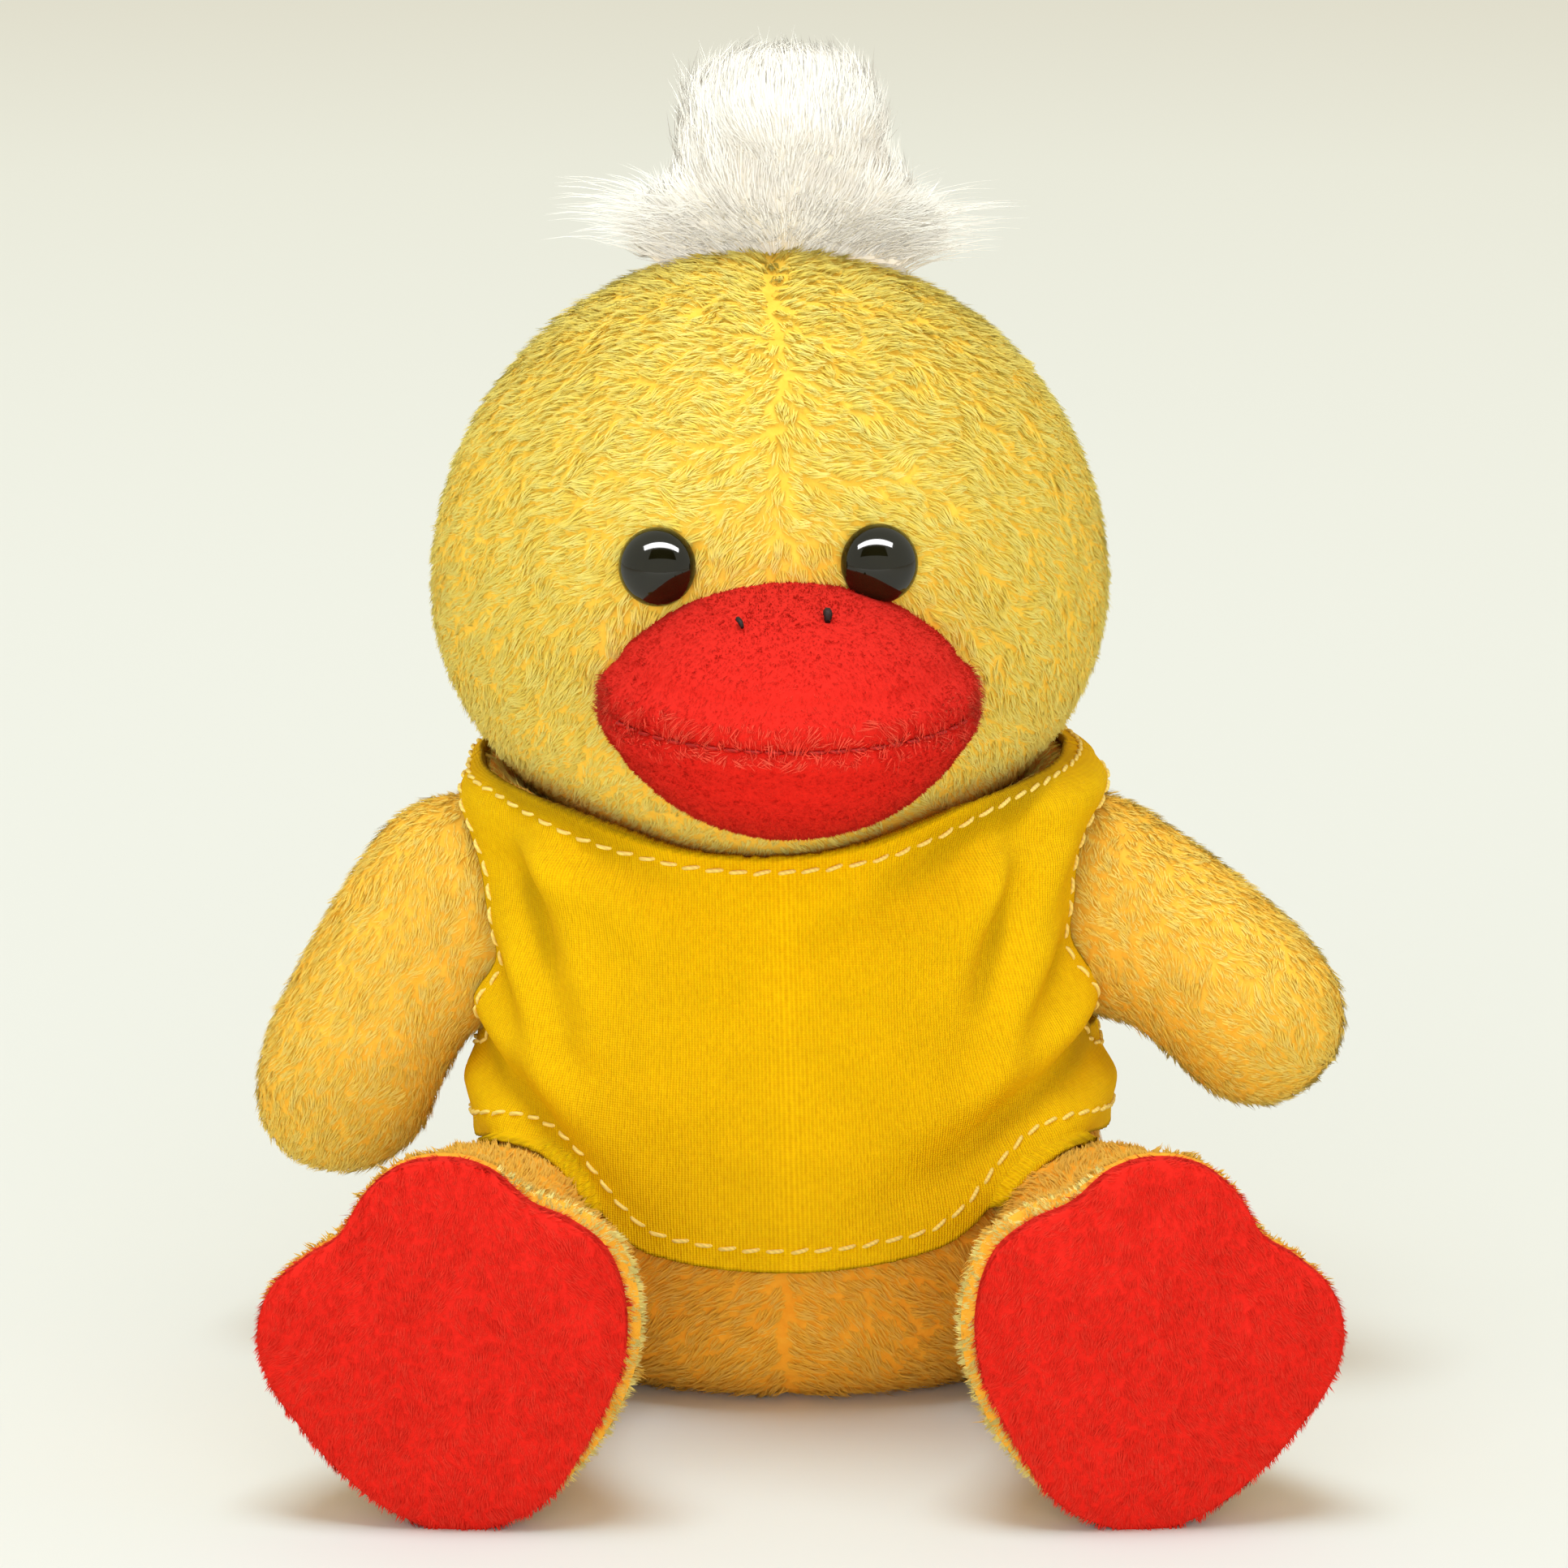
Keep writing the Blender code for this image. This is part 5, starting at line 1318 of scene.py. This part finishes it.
def knit_material():
    """Fine ribs of stitches that run up and down, with fuzz and uneven dye. Shade is painted
    into the folds, and a painted shadow line runs along the cut edges."""
    material, tree, shader = new_material("amber knit", 0.92, 0.05)
    cloth = add_node(tree, "UVMap", uv_map="cloth")["UV"]
    wales = {"Vector": cloth, "Scale": 1.0, "Distortion": 0.6, "Detail Scale": 3.0}
    wales = add_node(tree, "TexWave", wales, bands_direction="X")["Fac"]
    courses = {"Vector": cloth, "Scale": 1.3, "Distortion": 1.4}
    courses = add_node(tree, "TexWave", courses, bands_direction="Y")["Fac"]
    drawn = add_node(tree, "VectorMath", {0: cloth, 1: (1.0, 0.36, 1.0)}, operation="MULTIPLY")[0]
    fuzz = add_node(tree, "TexNoise", {"Vector": drawn, "Scale": 3.0, "Detail": 5})["Fac"]
    dye = add_node(tree, "TexNoise", {"Vector": cloth, "Scale": 0.16, "Detail": 3})["Fac"]
    weave = worked_out(tree, "MULTIPLY_ADD", courses, 0.35, wales)
    relief = worked_out(tree, "MULTIPLY_ADD", fuzz, 1.9, weave)
    inside = add_node(tree, "Attribute", attribute_name="inside")["Fac"]
    painted_fold_shade = add_node(tree, "Attribute", attribute_name="painted_fold_shade")["Fac"]
    # Painted shade: the colour darkens within 0.4 mm of each cut edge as a painted shadow line, and
    # in the folds as painted fold shade.
    shade = worked_out(tree, "MULTIPLY", mapped(tree, dye, 0, 1, 0.88, 1.08),
                       mapped(tree, inside, 0, 0.4, 0.42, 1))
    shade = worked_out(tree, "MULTIPLY", shade, mapped(tree, painted_fold_shade, 0, 1, 1.0, 0.62))
    colour = mixed(tree, mapped(tree, relief, 0.7, 2.5), KNIT_DARK, KNIT_LIGHT)
    shaded = add_node(tree, "VectorMath", {0: colour, "Scale": shade}, operation="SCALE")[0]
    feed(shader, {"Base Color": shaded})
    bumped(tree, shader, relief, 0.12, 0.8)
    return material


amber_knit = knit_material()
for word, first_turn in (("front", math.pi), ("back", 0.0)):
    share, angle, faces = panel_grid(first_turn, 230, 190)
    used, faces = np.unique(np.array(faces), return_inverse=True)
    share, angle = share[used], angle[used]
    points = vest_points(share, angle)
    panel = add_piece(f"vest_knit_{word}", points, faces.reshape(-1, 4).tolist(), amber_knit)
    # How deep each place lies in a fold, kept for the knit's painted fold shade.
    sunk = -fold_depth(torso_points(share, angle, VEST_OUTSET)) - 0.35
    add_values(panel.data, "painted_fold_shade", np.clip(sunk / 1.7, 0, 1))
    add_values(panel.data, "inside", in_vest(share, angle))
    corners = np.zeros(len(panel.data.loops), np.int32)
    panel.data.loops.foreach_get("vertex_index", corners)
    flat = np.column_stack((angle * VEST_MIDDLE_RADIUS, points[:, 2]))
    layer = panel.data.uv_layers.new(name="cloth")
    layer.data.foreach_set("uv", flat[corners].astype(np.float32).ravel())
    thick = panel.modifiers.new("cloth", "SOLIDIFY")
    thick.thickness = KNIT_THICKNESS * MM
    thick.offset = -1
    fit(panel, "neck", f"vest_{word}")

# Topstitching: one line of cream running stitch beside each raw edge of the vest, about
# 2.5 mm a stitch. Each dash dips into the knit at both ends.
STITCH_PITCH = 2.5
STITCH_LENGTH = 2.0
STITCH_RADIUS = 0.23
NECK_STITCH_INSET = 1.3
HEM_STITCH_INSET = 2.4
ARMHOLE_STITCH_INSET = 1.9
LINE_POINTS = 240
HEM_LEVELS = 260
HOLE_POINTS = 120
cream_thread = thread_material("cream thread", (0.98, 0.76, 0.19), dark_share=0.8)


def bisected(outside, low, high):
    """The places between low and high at which outside changes from true to false."""
    for _ in range(34):
        middle = (low + high) / 2
        is_out = outside(middle)
        low, high = np.where(is_out, middle, low), np.where(is_out, high, middle)
    return (low + high) / 2


def stitch_edge(name, node, share, angle):
    """Stitches along a closed line that is given in share and angle on the vest."""
    round_trip = 2 * math.pi if angle[-1] - angle[0] > 5 else 0
    share, angle = np.append(share, share[0]), np.append(angle, angle[0] + round_trip)
    steps = np.linalg.norm(np.diff(vest_points(share, angle), axis=0), axis=1)
    run = np.concatenate(((0,), np.cumsum(steps)))
    count = max(6, round(run[-1] / STITCH_PITCH))
    spots = (np.arange(count) + 0.5) / count * run[-1]
    s, a = np.interp(spots, run, share), np.interp(spots, run, angle)
    s2, a2 = np.interp(spots + 0.3, run, share), np.interp(spots + 0.3, run, angle)
    middle = vest_points(s, a)
    way = unit(vest_points(s2, a2) - middle)
    up, over = vest_points(s + 0.004, a) - middle, vest_points(s, a + 0.01) - middle
    out = unit(np.cross(over, up))
    tilt = 0.16 + 0.08 * np.sin(np.arange(count) * 2.3)
    way = unit(way + tilt[:, None] * np.cross(out, way))
    stitches = stitch_run(name, middle, way, out, STITCH_LENGTH, STITCH_RADIUS, cream_thread)
    fit(stitches, "neck", node)


def above_neck_line(share):
    return above_neckline(torso_points(share, angle, VEST_OUTSET)) > NECK_STITCH_INSET


angle = np.linspace(0, 2 * math.pi, LINE_POINTS, endpoint=False)
low, high = np.full(LINE_POINTS, 0.5), np.full(LINE_POINTS, 0.92)
stitch_edge("neckline_dashes", "neckline_stitching", bisected(above_neck_line, low, high), angle)

levels = np.linspace(0.7, 0.1, HEM_LEVELS)
share = np.zeros(LINE_POINTS)
for k, turn in enumerate(angle):
    room = above_lower_edge(torso_points(levels, np.full(HEM_LEVELS, turn), VEST_OUTSET))
    low = np.nonzero(room < HEM_STITCH_INSET)[0][0]
    over = (room[low - 1] - HEM_STITCH_INSET) / (room[low - 1] - room[low])
    share[k] = levels[low - 1] + over * (levels[low] - levels[low - 1])
stitch_edge("hem_dashes", "hem_stitching", share, angle)

clock = np.linspace(0, 2 * math.pi, HOLE_POINTS, endpoint=False)
for word, middle_angle in (("left", 0.0), ("right", math.pi)):
    heights = torso_points(levels, np.full(HEM_LEVELS, middle_angle), VEST_OUTSET)[:, 2]
    middle_share = np.interp(-SHOULDER_HEIGHT, -heights, levels)

    def ring_at(size):
        up, over = size * 0.013 * np.sin(clock), size * 0.032 * np.cos(clock)
        return middle_share + up, middle_angle + over

    def in_hole(size):
        points = torso_points(*ring_at(size), VEST_OUTSET)
        return off_arms(points, ARMHOLE_MARGIN) < ARMHOLE_STITCH_INSET

    size = bisected(in_hole, np.zeros(HOLE_POINTS), np.full(HOLE_POINTS, 22.0))
    stitch_edge(f"armhole_dashes_{word}", f"armhole_stitching_{word}", *ring_at(size))

# Floor, light and camera: a pale paper floor and an even room, lit by a soft box above, one
# in front and a narrow strip for the eyes. A dark card in front gives the eyes their depth.
# The floor is painted paler and cooler towards the back: painted light, making up for the soft
# boxes' light falling off with distance.
FLOOR_NEAR = (0.75, 0.785, 0.785)
FLOOR_FAR = (0.865, 0.94, 0.95)
FLOOR_FADE = (0.05, 1.0)
ROOM_LIGHT = {"Color": (1.0, 0.82, 0.60, 1), "Strength": 0.70}
BACKDROP_LIGHT = {"Color": (0.78, 0.79, 0.70, 1), "Strength": 1.0}
# Each lamp: its name, place, aim, width, height, power, colour and what doesn't see it.
LAMPS = (
    ("soft box above", (-0.12, -0.30, 1.80), (0, 0, 0.06), 1.0, 0.7, 20, (0.78, 0.94, 1.0),
     "visible_glossy"),
    ("soft box in front", (-0.05, -1.6, 0.36), (0, 0, 0.07), 2.4, 0.7, 18, (0.95, 0.98, 1.0),
     "visible_glossy"),
    ("strip for the eyes", (0, -0.28, 0.62), (0, 0, 0.09), 1.0, 0.16, 14, (1.0, 1.0, 1.0),
     "visible_diffuse"),
)
CARD_CORNERS = [(-0.36, -0.5, 0.35), (0.36, -0.5, 0.35), (0.36, -0.5, 0.72), (-0.36, -0.5, 0.72)]
CAMERA_AIM = Vector((0.5, 0.0, 62.0)) * MM
CAMERA_DISTANCE = 0.8
CAMERA_RAISED = math.radians(12)
SENSOR_WIDTH = 36
FRAME_WIDTH = 0.1681


def add_backdrop(name, corners, material):
    """A single flat face that belongs to the studio."""
    mesh = bpy.data.meshes.new(name)
    mesh.from_pydata(corners, [], [(0, 1, 2, 3)])
    mesh.materials.append(material)
    backdrop = add_object(name, mesh)
    return backdrop


paper, tree, shader = new_material("floor paper", 1.0, 0.0)
away = add_node(tree, "SeparateXYZ", {0: object_place(tree)})["Y"]
feed(shader, {"Base Color": mixed(tree, mapped(tree, away, *FLOOR_FADE), FLOOR_NEAR, FLOOR_FAR)})
add_backdrop("floor", [(-4, -2, 0), (4, -2, 0), (4, 6, 0), (-4, 6, 0)], paper)

world = bpy.data.worlds.new("room")
scene.world = world
world.use_nodes = True
tree = world.node_tree
tree.nodes.clear()
ray = add_node(tree, "LightPath")
seen = worked_out(tree, "ADD", ray["Is Camera Ray"], ray["Is Glossy Ray"])
seen = worked_out(tree, "MAXIMUM", seen, ray["Is Transmission Ray"])
room, backdrop = (add_node(tree, "Background", light)[0] for light in (ROOM_LIGHT, BACKDROP_LIGHT))
shown = add_node(tree, "MixShader", {"Fac": seen, 1: room, 2: backdrop})[0]
add_node(tree, "OutputWorld", {"Surface": shown})

for name, place, aim, width, height, power, colour, unseen_by in LAMPS:
    lamp = bpy.data.lights.new(name, "AREA")
    lamp.shape = "RECTANGLE"
    lamp.size, lamp.size_y = width, height
    lamp.energy = power
    lamp.color = colour
    holder = add_object(name, lamp)
    holder.location = place
    holder.rotation_euler = (Vector(aim) - Vector(place)).to_track_quat("-Z", "Y").to_euler()
    setattr(holder, unseen_by, False)

black, _, shader = new_material("black card", 0.5, 0.0)
feed(shader, {"Base Color": (0.01, 0.01, 0.01, 1)})
card = add_backdrop("dark_card", CARD_CORNERS, black)
card.visible_camera = card.visible_diffuse = card.visible_shadow = False

scene.view_settings.view_transform = "Standard"
camera_data = bpy.data.cameras.new("camera")
camera_data.sensor_width = SENSOR_WIDTH
camera_data.lens = SENSOR_WIDTH * CAMERA_DISTANCE / FRAME_WIDTH
camera_data.clip_end = 20
camera = add_object("camera", camera_data)
back = Vector((0, -math.cos(CAMERA_RAISED), math.sin(CAMERA_RAISED)))
camera.location = CAMERA_AIM + back * CAMERA_DISTANCE
camera.rotation_euler = (-back).to_track_quat("-Z", "Y").to_euler()
scene.camera = camera
